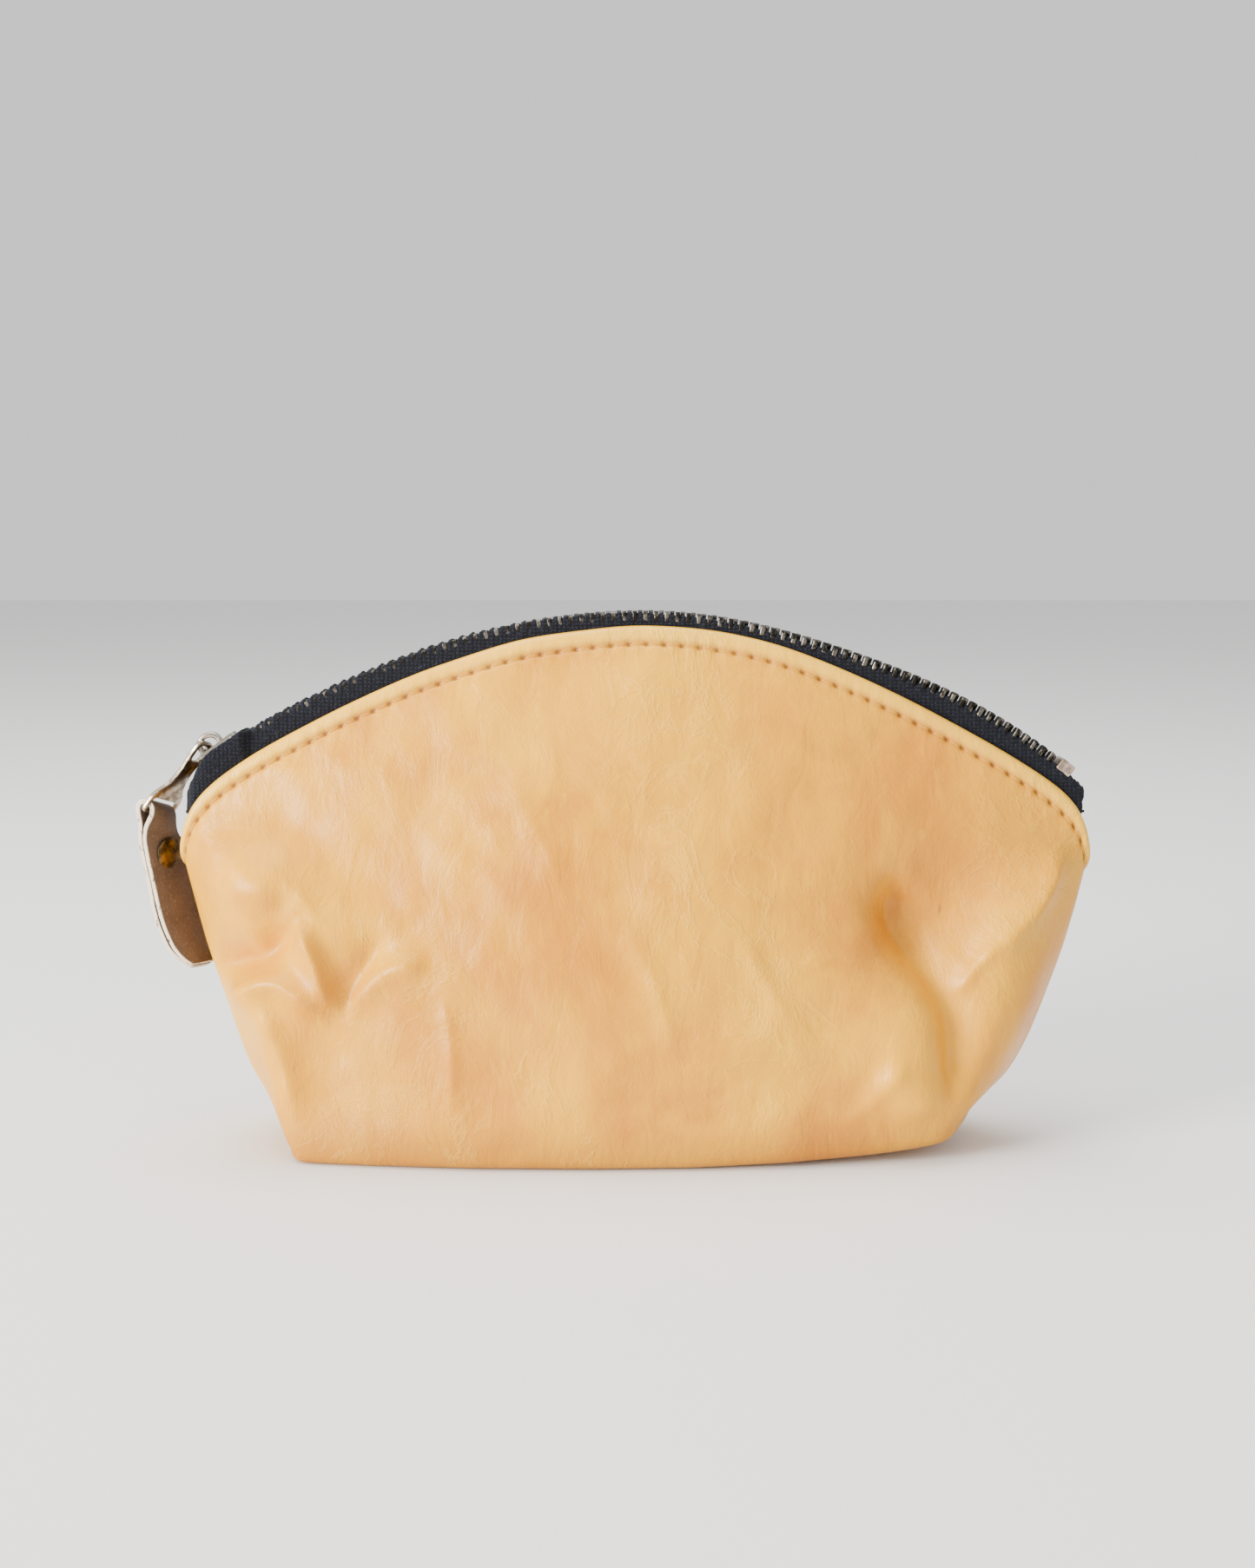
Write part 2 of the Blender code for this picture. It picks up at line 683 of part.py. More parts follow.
NECK = 2.0
shape = [
    (-0.5, -TAB_HEAD_HALF_Y + 0.5),
    (-0.1, -TAB_HEAD_HALF_Y),
    (4.6, -TAB_HEAD_HALF_Y),
    (6.4, -NECK),
    (TAB_LENGTH - 7.6, -NECK - 0.4),
    (TAB_LENGTH - 4.6, -TAB_FOOT_HALF_Y),
    (TAB_LENGTH + 0.2, -TAB_FOOT_HALF_Y),
    (TAB_LENGTH + 0.6, -TAB_FOOT_HALF_Y + 0.5)]
shape = shape + [(a, -b) for a, b in reversed(shape)]
tab = outline_body("pull_tab", shape, tab_point, TAB_THICK / 2.0, NICKEL, 0.35, 1.0)
eye = [(0.5, -1.3), (4.6, -1.3), (4.6, 1.3), (0.5, 1.3)]
eye_cut = outline_body("eye_cut", eye, tab_point, 3.0, NICKEL, 0.35, 1.0, cutters)
gap = TAB_LENGTH - 0.6
slot = [(gap - 2.9, -3.3), (gap, -3.3), (gap, 3.3), (gap - 2.9, 3.3)]
slot_cut = outline_body("slot_cut", slot, tab_point, 3.0, NICKEL, 0.35, 1.0, cutters)
combine(tab, eye_cut, "DIFFERENCE")
combine(tab, slot_cut, "DIFFERENCE")

# ---- the leather strap on the tab ------------------------------------------

TURN_TOP = TAB_END[1] - 0.6
LOOP_RADIUS = 1.7
HALF_STACK = (STRAP_THICK + STRAP_GAP) / 2.0


def turned(point):
    """The strap turns about its own length just below the loop."""
    angle = math.radians(STRAP_TURN) * smooth((TURN_TOP - point.z) / 5.5)
    pivot = Vector((strap_x(point.z), 0.0, point.z))
    return Matrix.Rotation(angle, 4, "Z") @ (point - pivot) + pivot


def strap_line(count=18):
    """The middle of the strap, from the tab's foot bar down to its tip."""
    ends = [FOOT_POINT, Vector((-108.9, 0.0, 64.5)),
            Vector((-107.4, 0.0, 50.5)), Vector((-100.4, 0.0, 40.4))]
    line = []
    for k in range(count + 1):
        t = k / count
        a = (1 - t) ** 3
        b = 3 * t * (1 - t) ** 2
        c = 3 * t * t * (1 - t)
        d = t ** 3
        line.append(ends[0] * a + ends[1] * b + ends[2] * c + ends[3] * d)
    return line


MIDDLE = strap_line()


def strap_x(z):
    """Where the middle of the strap passes a height."""
    if z >= MIDDLE[0].z:
        return MIDDLE[0].x
    for one, two in zip(MIDDLE[:-1], MIDDLE[1:]):
        if two.z <= z <= one.z:
            return one.x + (two.x - one.x) * (one.z - z) / (one.z - two.z)
    return MIDDLE[-1].x


def layer(sign):
    """One of the strap's two layers: they close up below the loop."""
    moved = []
    for k, place in enumerate(MIDDLE):
        before = MIDDLE[max(0, k - 1)]
        after = MIDDLE[min(len(MIDDLE) - 1, k + 1)]
        way = (after - before).normalized()
        reach = LOOP_RADIUS + (HALF_STACK - LOOP_RADIUS) * smooth(k / 3.0)
        moved.append(place + Vector((-way.z, 0.0, way.x)) * (sign * reach))
    return moved


outer_layer = layer(-1.0)
inner_layer = layer(1.0)
loop = []
for k in range(1, 8):
    turn = math.pi * k / 8.0
    loop.append(FOOT_POINT + Vector((
        -LOOP_RADIUS * math.cos(turn), 0.0, LOOP_RADIUS * math.sin(turn))))
path = list(reversed(outer_layer)) + loop + inner_layer
total = len(path)


def strap_half(place):
    """Half the width of the strap: narrow at the loop, pointed at the tip."""
    neck = smooth((TAB_END[1] - 2.0 - place.z) / 6.0)
    half = STRAP_NECK_HALF_Y + (STRAP_HALF_Y - STRAP_NECK_HALF_Y) * neck
    tip = min(1.0, max(0.0, (place.z - 39.0) / 7.0))
    return half * (0.25 + 0.75 * tip)


points = []
for k, place in enumerate(path):
    before = path[max(0, k - 1)]
    after = path[min(total - 1, k + 1)]
    way = (after - before).normalized()
    face = Vector((-way.z, 0.0, way.x))
    half = strap_half(place)
    for across, high in ((-1, -1), (1, -1), (1, 1), (-1, 1)):
        corner = place + face * (STRAP_THICK / 2.0 * high) + Vector((0.0, half * across, 0.0))
        points.append(turned(corner))
faces = [(0, 1, 2, 3)]
for k in range(total - 1):
    for m in range(4):
        a = 4 * k + m
        b = 4 * k + (m + 1) % 4
        faces.append((a, a + 4, b + 4, b))
last = 4 * (total - 1)
faces.append((last + 3, last + 2, last + 1, last))
strap = body("pull_strap", points, faces, (0.45, 0.24, 0.09), 0.6)

# ---- the rivet that closes the loop ----------------------------------------


def strap_facing(z):
    """Which way the strap's inner face looks at a height, before it turns."""
    for one, two in zip(MIDDLE[:-1], MIDDLE[1:]):
        if two.z <= z <= one.z:
            way = (two - one).normalized()
            return Vector((-way.z, 0.0, way.x))
    return Vector((1.0, 0.0, 0.0))


rivet_at = Vector((strap_x(RIVET_HEIGHT_Z), 0.0, RIVET_HEIGHT_Z))
rivet_in = strap_facing(RIVET_HEIGHT_Z)


def lathe(name, profile, colour, home=pouch, sides=16):
    """A turned piece on the rivet's axis from pairs of (depth, radius)."""
    up = Vector((0.0, 1.0, 0.0))
    third = rivet_in.cross(up)
    points = []
    for depth, radius in profile:
        for m in range(sides):
            turn = 2.0 * math.pi * m / sides
            place = rivet_at + rivet_in * depth
            place += up * (radius * math.cos(turn)) + third * (radius * math.sin(turn))
            points.append(place)
    centre = turned(rivet_at)
    angle = math.radians(STRAP_TURN) * smooth((TURN_TOP - rivet_at.z) / 5.5)
    spin = Matrix.Rotation(angle, 4, "Z")
    points = [spin @ (p - rivet_at) + centre for p in points]
    faces = []
    for k in range(len(profile) - 1):
        for m in range(sides):
            a = k * sides + m
            b = k * sides + (m + 1) % sides
            faces.append((a, b, b + sides, a + sides))
    faces.append(tuple(range(sides)))
    faces.append(tuple((len(profile) - 1) * sides + m for m in reversed(range(sides))))
    return body(name, points, faces, colour, 0.35, 1.0, home)


face = HALF_STACK + STRAP_THICK / 2.0 + 0.15
lathe("rivet_cap", [(face, 3.4), (face + 0.4, 3.3), (face + 0.8, 2.6), (face + 1.0, 1.4),
                    (face + 1.1, 0.3)], BRASS)
lathe("rivet_post", [(face - 0.06, 1.0), (-face, 1.0), (-face, 2.8), (-face - 0.4, 2.6),
                     (-face - 0.7, 1.2)], BRASS)
hole = lathe("rivet_hole", [(-3.5, 1.3), (3.5, 1.3)], BRASS, cutters, 12)
combine(strap, hole, "DIFFERENCE")

# ---- each moving piece turns about its own joint line -----------------------

TURNS = {
    (0.0, 0.0, HINGE_Z): [
        "mouth_panel_front", "mouth_lining_front", "zip_tape_front", "zip_teeth_front",
        "topstitch_front", "mouth_panel_back", "mouth_lining_back", "zip_tape_back",
        "zip_teeth_back", "topstitch_back"],
    (0.0, 0.0, ZIP_CENTRE_Z): ["slider_body", "slider_bridge"],
    tuple(PIVOT): ["pull_tab"],
    tuple(FOOT_POINT): ["pull_strap", "rivet_cap", "rivet_post"]}
for place, names in TURNS.items():
    origin = Vector(place) * MM
    for name in names:
        thing = bpy.data.objects[name]
        thing.data.transform(Matrix.Translation(-origin))
        thing.location = origin
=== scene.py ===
"""Zippered leather pouch: the visual model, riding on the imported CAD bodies.

Lengths here are millimetres in the part's own frame, and go to metres as each mesh is made.
"""
import math

import bpy
import bmesh
import numpy as np
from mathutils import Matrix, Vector


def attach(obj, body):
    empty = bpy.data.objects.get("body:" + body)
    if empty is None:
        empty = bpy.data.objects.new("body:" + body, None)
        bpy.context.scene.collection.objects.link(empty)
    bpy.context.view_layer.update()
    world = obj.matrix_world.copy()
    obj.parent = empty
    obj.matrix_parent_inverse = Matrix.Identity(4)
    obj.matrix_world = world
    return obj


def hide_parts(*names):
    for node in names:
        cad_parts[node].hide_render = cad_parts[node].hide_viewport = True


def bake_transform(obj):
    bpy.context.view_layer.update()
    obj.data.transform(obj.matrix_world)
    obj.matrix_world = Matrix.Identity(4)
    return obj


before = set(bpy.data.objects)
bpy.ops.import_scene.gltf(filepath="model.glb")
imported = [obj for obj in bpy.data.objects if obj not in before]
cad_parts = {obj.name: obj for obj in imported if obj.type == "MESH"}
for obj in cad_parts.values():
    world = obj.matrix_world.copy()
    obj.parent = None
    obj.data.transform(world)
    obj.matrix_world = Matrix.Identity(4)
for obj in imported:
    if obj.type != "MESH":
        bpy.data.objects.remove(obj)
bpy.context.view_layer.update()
MM = 0.001
rng = np.random.default_rng(7)

# ---------------------------------------------------------------- camera

camera_data = bpy.data.cameras.new("view")
camera_data.sensor_fit = "VERTICAL"
camera_data.sensor_height = 36.0
camera_data.sensor_width = 36.0
camera_data.lens = 50.0
camera_data.clip_start = 0.02
camera = bpy.data.objects.new("view", camera_data)
camera.location = (-0.0015, -0.492, 0.145)
camera.rotation_euler = (math.radians(90.0 - 7.2), 0.0, 0.0)
bpy.context.scene.collection.objects.link(camera)
bpy.context.scene.camera = camera

# ---------------------------------------------------------------- small tools


def smooth(v):
    """A soft step from 0 to 1."""
    v = np.clip(v, 0.0, 1.0)
    return v * v * (3.0 - 2.0 * v)


def blur(values, sigma):
    """Gaussian smoothing along the first axis, with the ends held."""
    reach = int(sigma * 3) + 1
    kernel = np.exp(-0.5 * (np.arange(-reach, reach + 1) / sigma) ** 2)
    kernel /= kernel.sum()
    padded = np.concatenate([
        2 * values[:1] - values[1:reach + 1][::-1],
        values,
        2 * values[-1:] - values[-reach - 1:-1][::-1]])
    return np.stack([np.convolve(padded[:, k], kernel, "valid") for k in range(values.shape[1])], 1)


def smooth_line(points, count, sigma):
    """A smooth line through control points, evenly spaced by length."""
    points = np.array(points, float)
    for _ in range(2):
        steps = np.linalg.norm(np.diff(points, axis=0), axis=1)
        along = np.concatenate([[0.0], np.cumsum(steps)])
        even = np.linspace(0.0, along[-1], count)
        points = np.stack([np.interp(even, along, points[:, k]) for k in range(points.shape[1])], 1)
        ends = points[[0, -1]].copy()
        points = blur(points, sigma)
        points[[0, -1]] = ends
    return points


def on_line(line, s):
    """Points of an evenly spaced line at s from -1 to 1."""
    where = (np.asarray(s) + 1.0) / 2.0 * (len(line) - 1)
    index = np.arange(len(line))
    return np.stack([np.interp(where, index, line[:, k]) for k in range(line.shape[1])], -1)


def add_mesh(name, verts, faces, mat, body=None, shade=True):
    """An object from millimetre points, with its faces turned outward."""
    mesh = bpy.data.meshes.new(name)
    mesh.from_pydata((np.asarray(verts) * MM).tolist(), [], faces)
    tool = bmesh.new()
    tool.from_mesh(mesh)
    bmesh.ops.recalc_face_normals(tool, faces=tool.faces)
    tool.to_mesh(mesh)
    tool.free()
    if shade:
        for polygon in mesh.polygons:
            polygon.use_smooth = True
    thing = bpy.data.objects.new(name, mesh)
    bpy.context.scene.collection.objects.link(thing)
    mesh.materials.append(mat)
    if body:
        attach(thing, body)
    return thing


def attribute(thing, name, values):
    """A float per point, for the material to read."""
    layer = thing.data.attributes.new(name, "FLOAT", "POINT")
    layer.data.foreach_set("value", np.asarray(values, np.float32).ravel())


# ---------------------------------------------------------------- materials


class Nodes:
    """A material's node tree, with short calls to build it."""

    def __init__(self, name):
        self.mat = bpy.data.materials.new(name)
        self.mat.use_nodes = True
        self.tree = self.mat.node_tree
        self.shader = self.tree.nodes["Principled BSDF"]

    def add(self, kind, **values):
        node = self.tree.nodes.new(kind)
        for key, value in values.items():
            setattr(node, key, value)
        return node

    def link(self, a, b):
        self.tree.links.new(a, b)

    def place(self):
        """Object coordinates in metres."""
        if not hasattr(self, "coords"):
            self.coords = self.add("ShaderNodeTexCoord").outputs["Object"]
        return self.coords

    def scaled(self, scale, turn=(0.0, 0.0, 0.0)):
        node = self.add("ShaderNodeMapping")
        node.inputs["Scale"].default_value = scale
        node.inputs["Rotation"].default_value = turn
        self.link(self.place(), node.inputs["Vector"])
        return node.outputs["Vector"]

    def noise(self, scale, detail=3.0, rough=0.5, vector=None, distortion=0.0):
        node = self.add("ShaderNodeTexNoise")
        node.inputs["Scale"].default_value = scale
        node.inputs["Detail"].default_value = detail
        node.inputs["Roughness"].default_value = rough
        node.inputs["Distortion"].default_value = distortion
        self.link(vector or self.place(), node.inputs["Vector"])
        return node.outputs["Fac"]

    def cells(self, scale, feature="F1", vector=None):
        node = self.add("ShaderNodeTexVoronoi", feature=feature)
        node.inputs["Scale"].default_value = scale
        self.link(vector or self.place(), node.inputs["Vector"])
        return node.outputs["Distance"]

    def ramp(self, value, low, high, a=0.0, b=1.0):
        node = self.add("ShaderNodeMapRange", interpolation_type="SMOOTHSTEP")
        node.inputs["From Min"].default_value = low
        node.inputs["From Max"].default_value = high
        node.inputs["To Min"].default_value = a
        node.inputs["To Max"].default_value = b
        self.link(value, node.inputs["Value"])
        return node.outputs["Result"]

    def mix(self, fac, a, b):
        node = self.add("ShaderNodeMix", data_type="RGBA")
        for key, value in (("Factor", fac), ("A", a), ("B", b)):
            socket = [i for i in node.inputs if i.name == key and
                      (key == "Factor" or i.type == "RGBA")][0]
            if isinstance(value, (tuple, list)):
                socket.default_value = (*value, 1.0)
            elif isinstance(value, float):
                socket.default_value = value
            else:
                self.link(value, socket)
        return [o for o in node.outputs if o.type == "RGBA"][0]

    def math(self, operation, a, b=0.0):
        node = self.add("ShaderNodeMath", operation=operation)
        for k, value in enumerate((a, b)):
            if isinstance(value, float):
                node.inputs[k].default_value = value
            else:
                self.link(value, node.inputs[k])
        return node.outputs[0]

    def read(self, name):
        return self.add("ShaderNodeAttribute", attribute_name=name).outputs["Fac"]

    def bump(self, height, distance, strength=1.0, after=None):
        node = self.add("ShaderNodeBump")
        node.inputs["Distance"].default_value = distance
        node.inputs["Strength"].default_value = strength
        self.link(height, node.inputs["Height"])
        if after is not None:
            self.link(after, node.inputs["Normal"])
        return node.outputs["Normal"]

    def set(self, **values):
        for key, value in values.items():
            socket = self.shader.inputs[key.replace("_", " ")]
            if isinstance(value, tuple):
                socket.default_value = (*value, 1.0)
            elif isinstance(value, (int, float)):
                socket.default_value = value
            else:
                self.link(value, socket)
        return self


def srgb(code):
    """A hex colour as linear numbers."""
    out = []
    for k in (0, 2, 4):
        c = int(code[k:k + 2], 16) / 255.0
        out.append(c / 12.92 if c <= 0.04045 else ((c + 0.055) / 1.055) ** 2.4)
    return tuple(out)


def leather(name, light, mid, deep, pale_wear_and_sheen, dark):
    """Smooth waxed leather: gently mottled dye, paler creases, a paler band along the rim that is partly wear
    and partly painted highlight, painted shade in the stitch holes, above the stitching and low on the wall,
    fine grain.
    """
    n = Nodes(name)
    clouds = n.noise(26.0, 5.0, 0.58, n.scaled((1.0, 1.0, 0.8)), 0.8)
    patches = n.noise(9.0, 2.0, 0.5, None, 1.0)
    fibres = n.noise(170.0, 5.0, 0.65, n.scaled((2.0, 1.0, 0.6), (0.0, 0.3, 0.0)), 0.5)
    specks = n.noise(620.0, 3.0, 0.6)
    colour = n.mix(n.ramp(clouds, 0.30, 0.70), deep, mid)
    colour = n.mix(n.math("MULTIPLY", n.ramp(patches, 0.42, 0.72), 0.55), colour, light)
    colour = n.mix(n.math("MULTIPLY", n.ramp(fibres, 0.55, 0.80), 0.30), colour, light)
    colour = n.mix(n.math("MULTIPLY", n.ramp(specks, 0.60, 0.78), 0.18), colour, deep)
    # paler band along the rim: partly wear, partly painted highlight of the rolled edge
    rim_rub_and_sheen_mask = n.read("rim_rub_and_sheen")
    colour = n.mix(n.math("MULTIPLY", rim_rub_and_sheen_mask, n.ramp(fibres, 0.2, 0.6, 0.6, 1.0)), colour, pale_wear_and_sheen)
    # painted shade: the points marked deep in edge_paint go towards the dark colour
    colour = n.mix(n.read("deep"), colour, dark)
    grain = n.cells(1050.0, "DISTANCE_TO_EDGE")
    pores = n.noise(2600.0, 2.0, 0.6)
    wrinkle = n.noise(85.0, 6.0, 0.64, n.scaled((1.5, 1.0, 0.7), (0.0, 0.5, 0.0)), 1.6)
    lines = n.noise(38.0, 7.0, 0.62, n.scaled((1.0, 1.0, 0.8), (0.0, -0.4, 0.0)), 2.2)
    crease = n.ramp(n.math("ABSOLUTE", n.math("SUBTRACT", lines, 0.5)), 0.0, 0.035, 1.0, 0.0)
    where = n.ramp(patches, 0.40, 0.62)
    crease = n.math("MULTIPLY", crease, where)
    colour = n.mix(n.math("MULTIPLY", crease, 0.16), colour, pale_wear_and_sheen)
    normal = n.bump(n.ramp(grain, 0.0, 0.28), 0.00003, 0.5)
    normal = n.bump(pores, 0.00003, 0.4, normal)
    normal = n.bump(wrinkle, 0.0009, 0.50, normal)
    normal = n.bump(crease, 0.00022, 0.55, normal)
    rough = n.ramp(n.noise(60.0, 3.0, 0.5), 0.3, 0.7, 0.33, 0.46)
    n.set(Base_Color=colour, Roughness=rough, Normal=normal)
    n.shader.inputs["Specular IOR Level"].default_value = 0.33
    n.shader.inputs["Coat Weight"].default_value = 0.10
    n.shader.inputs["Coat Roughness"].default_value = 0.28
    return n.mat


def strap_hide(name, face, grain, edge, slit):
    """Vegetable-tanned strap: taupe faces and a pale raw edge with dark cracks."""
    n = Nodes(name)
    clouds = n.noise(120.0, 4.0, 0.6)
    nap = n.noise(1500.0, 3.0, 0.65)
    colour = n.mix(n.ramp(clouds, 0.32, 0.68), face, grain)
    colour = n.mix(n.math("MULTIPLY", n.ramp(nap, 0.52, 0.76), 0.10), colour, edge)
    raw = n.read("raw")
    chips = n.noise(700.0, 4.0, 0.7, n.scaled((1.0, 1.0, 0.45)))
    pale = n.mix(n.ramp(chips, 0.56, 0.66), edge, slit)
    colour = n.mix(raw, colour, pale)
    height = n.math("ADD", n.math("MULTIPLY", nap, 0.5), n.math("MULTIPLY", raw, chips))
    n.set(Base_Color=colour, Roughness=n.ramp(raw, 0.0, 1.0, 0.62, 0.85),
          Normal=n.bump(height, 0.0002, 0.5))
    n.shader.inputs["Specular IOR Level"].default_value = 0.35
    return n.mat


GRIME = (0.03, 0.025, 0.02)


def metal(name, clean, tarnish, rough, age):
    """Plated metal with tarnish in patches and fine scratches."""
    n = Nodes(name)
    patches = n.noise(420.0, 4.0, 0.6)
    fine = n.noise(1800.0, 3.0, 0.6, n.scaled((1.0, 1.0, 6.0), (0.0, 0.6, 0.2)))
    colour = n.mix(n.ramp(patches, 0.5 - age, 0.62), tarnish, clean)
    colour = n.mix(n.math("MULTIPLY", n.ramp(fine, 0.62, 0.80), 0.45), colour, GRIME)
    n.set(Base_Color=colour, Metallic=1.0,
          Roughness=n.ramp(patches, 0.3, 0.7, rough + 0.16, rough),
          Normal=n.bump(fine, 0.00004, 0.3))
    return n.mat


def cloth(name, base, fleck, thread, ribs, rough=0.95):
    """Woven cotton: cross ribs, warp lines and loose flecks."""
    n = Nodes(name)
    waves = n.add("ShaderNodeTexWave", wave_type="BANDS", bands_direction="X")
    waves.inputs["Scale"].default_value = ribs
    waves.inputs["Distortion"].default_value = 0.6
    waves.inputs["Detail Scale"].default_value = 3.0
    n.link(n.place(), waves.inputs["Vector"])
    warp = n.add("ShaderNodeTexWave", wave_type="BANDS", bands_direction="Z")
    warp.inputs["Scale"].default_value = thread
    warp.inputs["Distortion"].default_value = 0.8
    n.link(n.place(), warp.inputs["Vector"])
    fuzz = n.noise(2400.0, 3.0, 0.7)
    height = n.math("MULTIPLY", waves.outputs["Fac"], warp.outputs["Fac"])
    colour = n.mix(n.math("MULTIPLY", n.ramp(fuzz, 0.50, 0.74), 0.8), base, fleck)
    colour = n.mix(n.math("MULTIPLY", height, 0.35), colour, fleck)
    normal = n.bump(height, 0.00012, 0.8)
    normal = n.bump(fuzz, 0.00010, 0.5, normal)
    n.set(Base_Color=colour, Roughness=rough, Normal=normal)
    n.shader.inputs["Specular IOR Level"].default_value = 0.15
    n.shader.inputs["Sheen Weight"].default_value = 0.06
    n.shader.inputs["Sheen Roughness"].default_value = 0.5
    return n.mat


# the fourth colour is the pale of wear and of the painted rim highlight; the last is the painted shade colour
LEATHER = leather("tan_leather", srgb("F4BC0C"), srgb("E2A000"), srgb("C67C00"),
                  srgb("F9C638"), srgb("642C00"))
STRAP = strap_hide("strap_leather", srgb("4C3A2C"), srgb("5C4838"), srgb("D8C8B0"), srgb("54422F"))
LINING = cloth("lining_cotton", srgb("6B5440"), srgb("86705A"), 1200.0, 1000.0)
TAPE = cloth("zip_tape_cotton", srgb("090A0F"), srgb("2B2E3A"), 380.0, 330.0)
THREAD = cloth("stitch_thread", srgb("DC9A20"), srgb("ECB440"), 2500.0, 1800.0, 0.6)
TEETH = metal("zip_tooth_metal", srgb("6C665D"), srgb("24221F"), 0.38, 0.02)
NICKEL = metal("nickel_plate", srgb("D3CCC2"), srgb("9A9184"), 0.22, 0.02)
OLD_NICKEL = metal("aged_nickel", srgb("A99F90"), srgb("6E6353"), 0.26, 0.10)
STOP = metal("stop_metal", srgb("CBB3A2"), srgb("8F7D6E"), 0.26, 0.05)
BRASS = metal("antique_brass", srgb("6F5B3A"), srgb("3A2F1E"), 0.30, 0.12)

# ---------------------------------------------------------------- the pouch's surface

RIM = smooth_line([
    (-103.4, 68.5), (-103.3, 73.0), (-101.6, 78.6), (-95.0, 84.9), (-84.2, 91.8), (-66.0, 101.3),
    (-48.7, 109.1), (-25.3, 116.8), (0.0, 119.9), (18.0, 118.7), (33.0, 115.3), (48.0, 109.4),
    (62.4, 102.7), (82.1, 92.1), (93.5, 85.0), (101.6, 78.9), (103.6, 73.5), (103.9, 67.5)], 900, 14.0)
FOOT = smooth_line([
    (-77.0, -0.2, 3.6), (-77.2, -9.0, 3.4), (-77.0, -15.4, 3.0), (-76.4, -19.6, 2.6), (-74.6, -21.6, 2.4),
    (-70.0, -22.6, 2.6), (-58.0, -24.6, 3.0), (-36.0, -27.0, 3.2), (-10.0, -27.6, 3.2), (13.0, -27.2, 3.4),
    (34.0, -25.6, 4.0), (53.0, -22.8, 5.0), (62.0, -21.2, 5.8), (68.4, -19.8, 6.6), (71.0, -18.0, 7.0),
    (73.0, -13.5, 7.8), (75.4, -7.0, 8.4), (77.0, -0.2, 8.6)], 900, 5.0)
LEFT_SWELL = ((0.0, 0.15, 0.35, 0.54, 0.68, 0.76, 0.84, 0.90, 0.96, 1.0),
              (0.0, 1.7, 3.8, 4.8, 5.6, 6.0, 5.7, 4.6, 2.5, 0.7))
RIGHT_SWELL = ((0.0, 0.2, 0.38, 0.6, 0.74, 0.88, 0.95, 1.0), (0.0, 2.8, 4.8, 6.2, 6.8, 6.2, 4.2, 1.4))
FINE = np.linspace(0.0, 1.0, 201)
SWELLS = [blur(np.interp(FINE, *table)[:, None], 8.0)[:, 0] for table in (LEFT_SWELL, RIGHT_SWELL)]
RIM_Y = 4.4
WALL_SWELL = 5.0
FRONT_DEPTH = 1.2      # scales all of the front's folds together


def rim_depth(s):
    """How far the leather edge stands from the middle plane."""
    return 0.35 + (RIM_Y - 0.35) * np.sqrt(np.clip(1.0 - np.abs(s) ** 16, 0.0, 1.0))


def wall(s, t):
    """The wall of the front panel from the rim (t 0) to the base turn (t 1)."""
    s = np.asarray(s, float)
    t = np.asarray(t, float)
    top = on_line(RIM, s)
    foot = on_line(FOOT, s)
    rise = np.sin(math.pi * t)
    full = 1.0 - (1.0 - t) ** 1.30
    left = np.interp(t, FINE, SWELLS[0])
    right = np.interp(t, FINE, SWELLS[1])
    side = np.where(s < 0, -left * np.abs(s) ** 3, right * np.abs(s) ** 4)
    depth = rim_depth(s)
    out = WALL_SWELL * rise * (1.0 - s * s)
    x = top[..., 0] + (foot[..., 0] - top[..., 0]) * t + side
    y = -depth + (foot[..., 1] + depth) * full - out
    z = top[..., 1] + (foot[..., 2] - top[..., 1]) * t
    return np.stack([x, np.minimum(y, -0.2), z], -1)


def segment_distance(x, z, line):
    """Signed distance to a polyline and how far along it the nearest point is."""
    line = np.array(line, float)
    total = np.linalg.norm(np.diff(line, axis=0), axis=1).sum()
    best = np.full(x.shape, 1e9)
    side = np.zeros(x.shape)
    where = np.zeros(x.shape)
    done = 0.0
    for a, b in zip(line[:-1], line[1:]):
        d = b - a
        size = np.linalg.norm(d)
        u = np.clip(((x - a[0]) * d[0] + (z - a[1]) * d[1]) / size ** 2, 0.0, 1.0)
        px = x - (a[0] + d[0] * u)
        pz = z - (a[1] + d[1] * u)
        far = np.hypot(px, pz)
        near = far < best
        best = np.where(near, far, best)
        side = np.where(near, np.sign(d[0] * pz - d[1] * px), side)
        where = np.where(near, (done + size * u) / total, where)
        done += size
    return best, side, where


def fold(x, z, line, width, amount, taper=0.25, skew=0.0):
    """A ridge (or with a negative amount a valley) along a line, fading at its ends."""
    line = smooth_line(line, 24, 2.0)
    far, side, where = segment_distance(x, z, line)
    fade = smooth(where / taper) * smooth((1.0 - where) / taper)
    wide = width * (1.0 + skew * side)
    return amount * fade * np.exp(-np.abs(far / wide) ** 1.6)


def mound(x, z, cx, cz, wide, high, turn, amount):
    """A soft rounded rise."""
    c = math.cos(math.radians(turn))
    s = math.sin(math.radians(turn))
    u = (x - cx) * c + (z - cz) * s
    v = -(x - cx) * s + (z - cz) * c
    return amount * np.exp(-0.5 * ((u / wide) ** 2 + (v / high) ** 2))


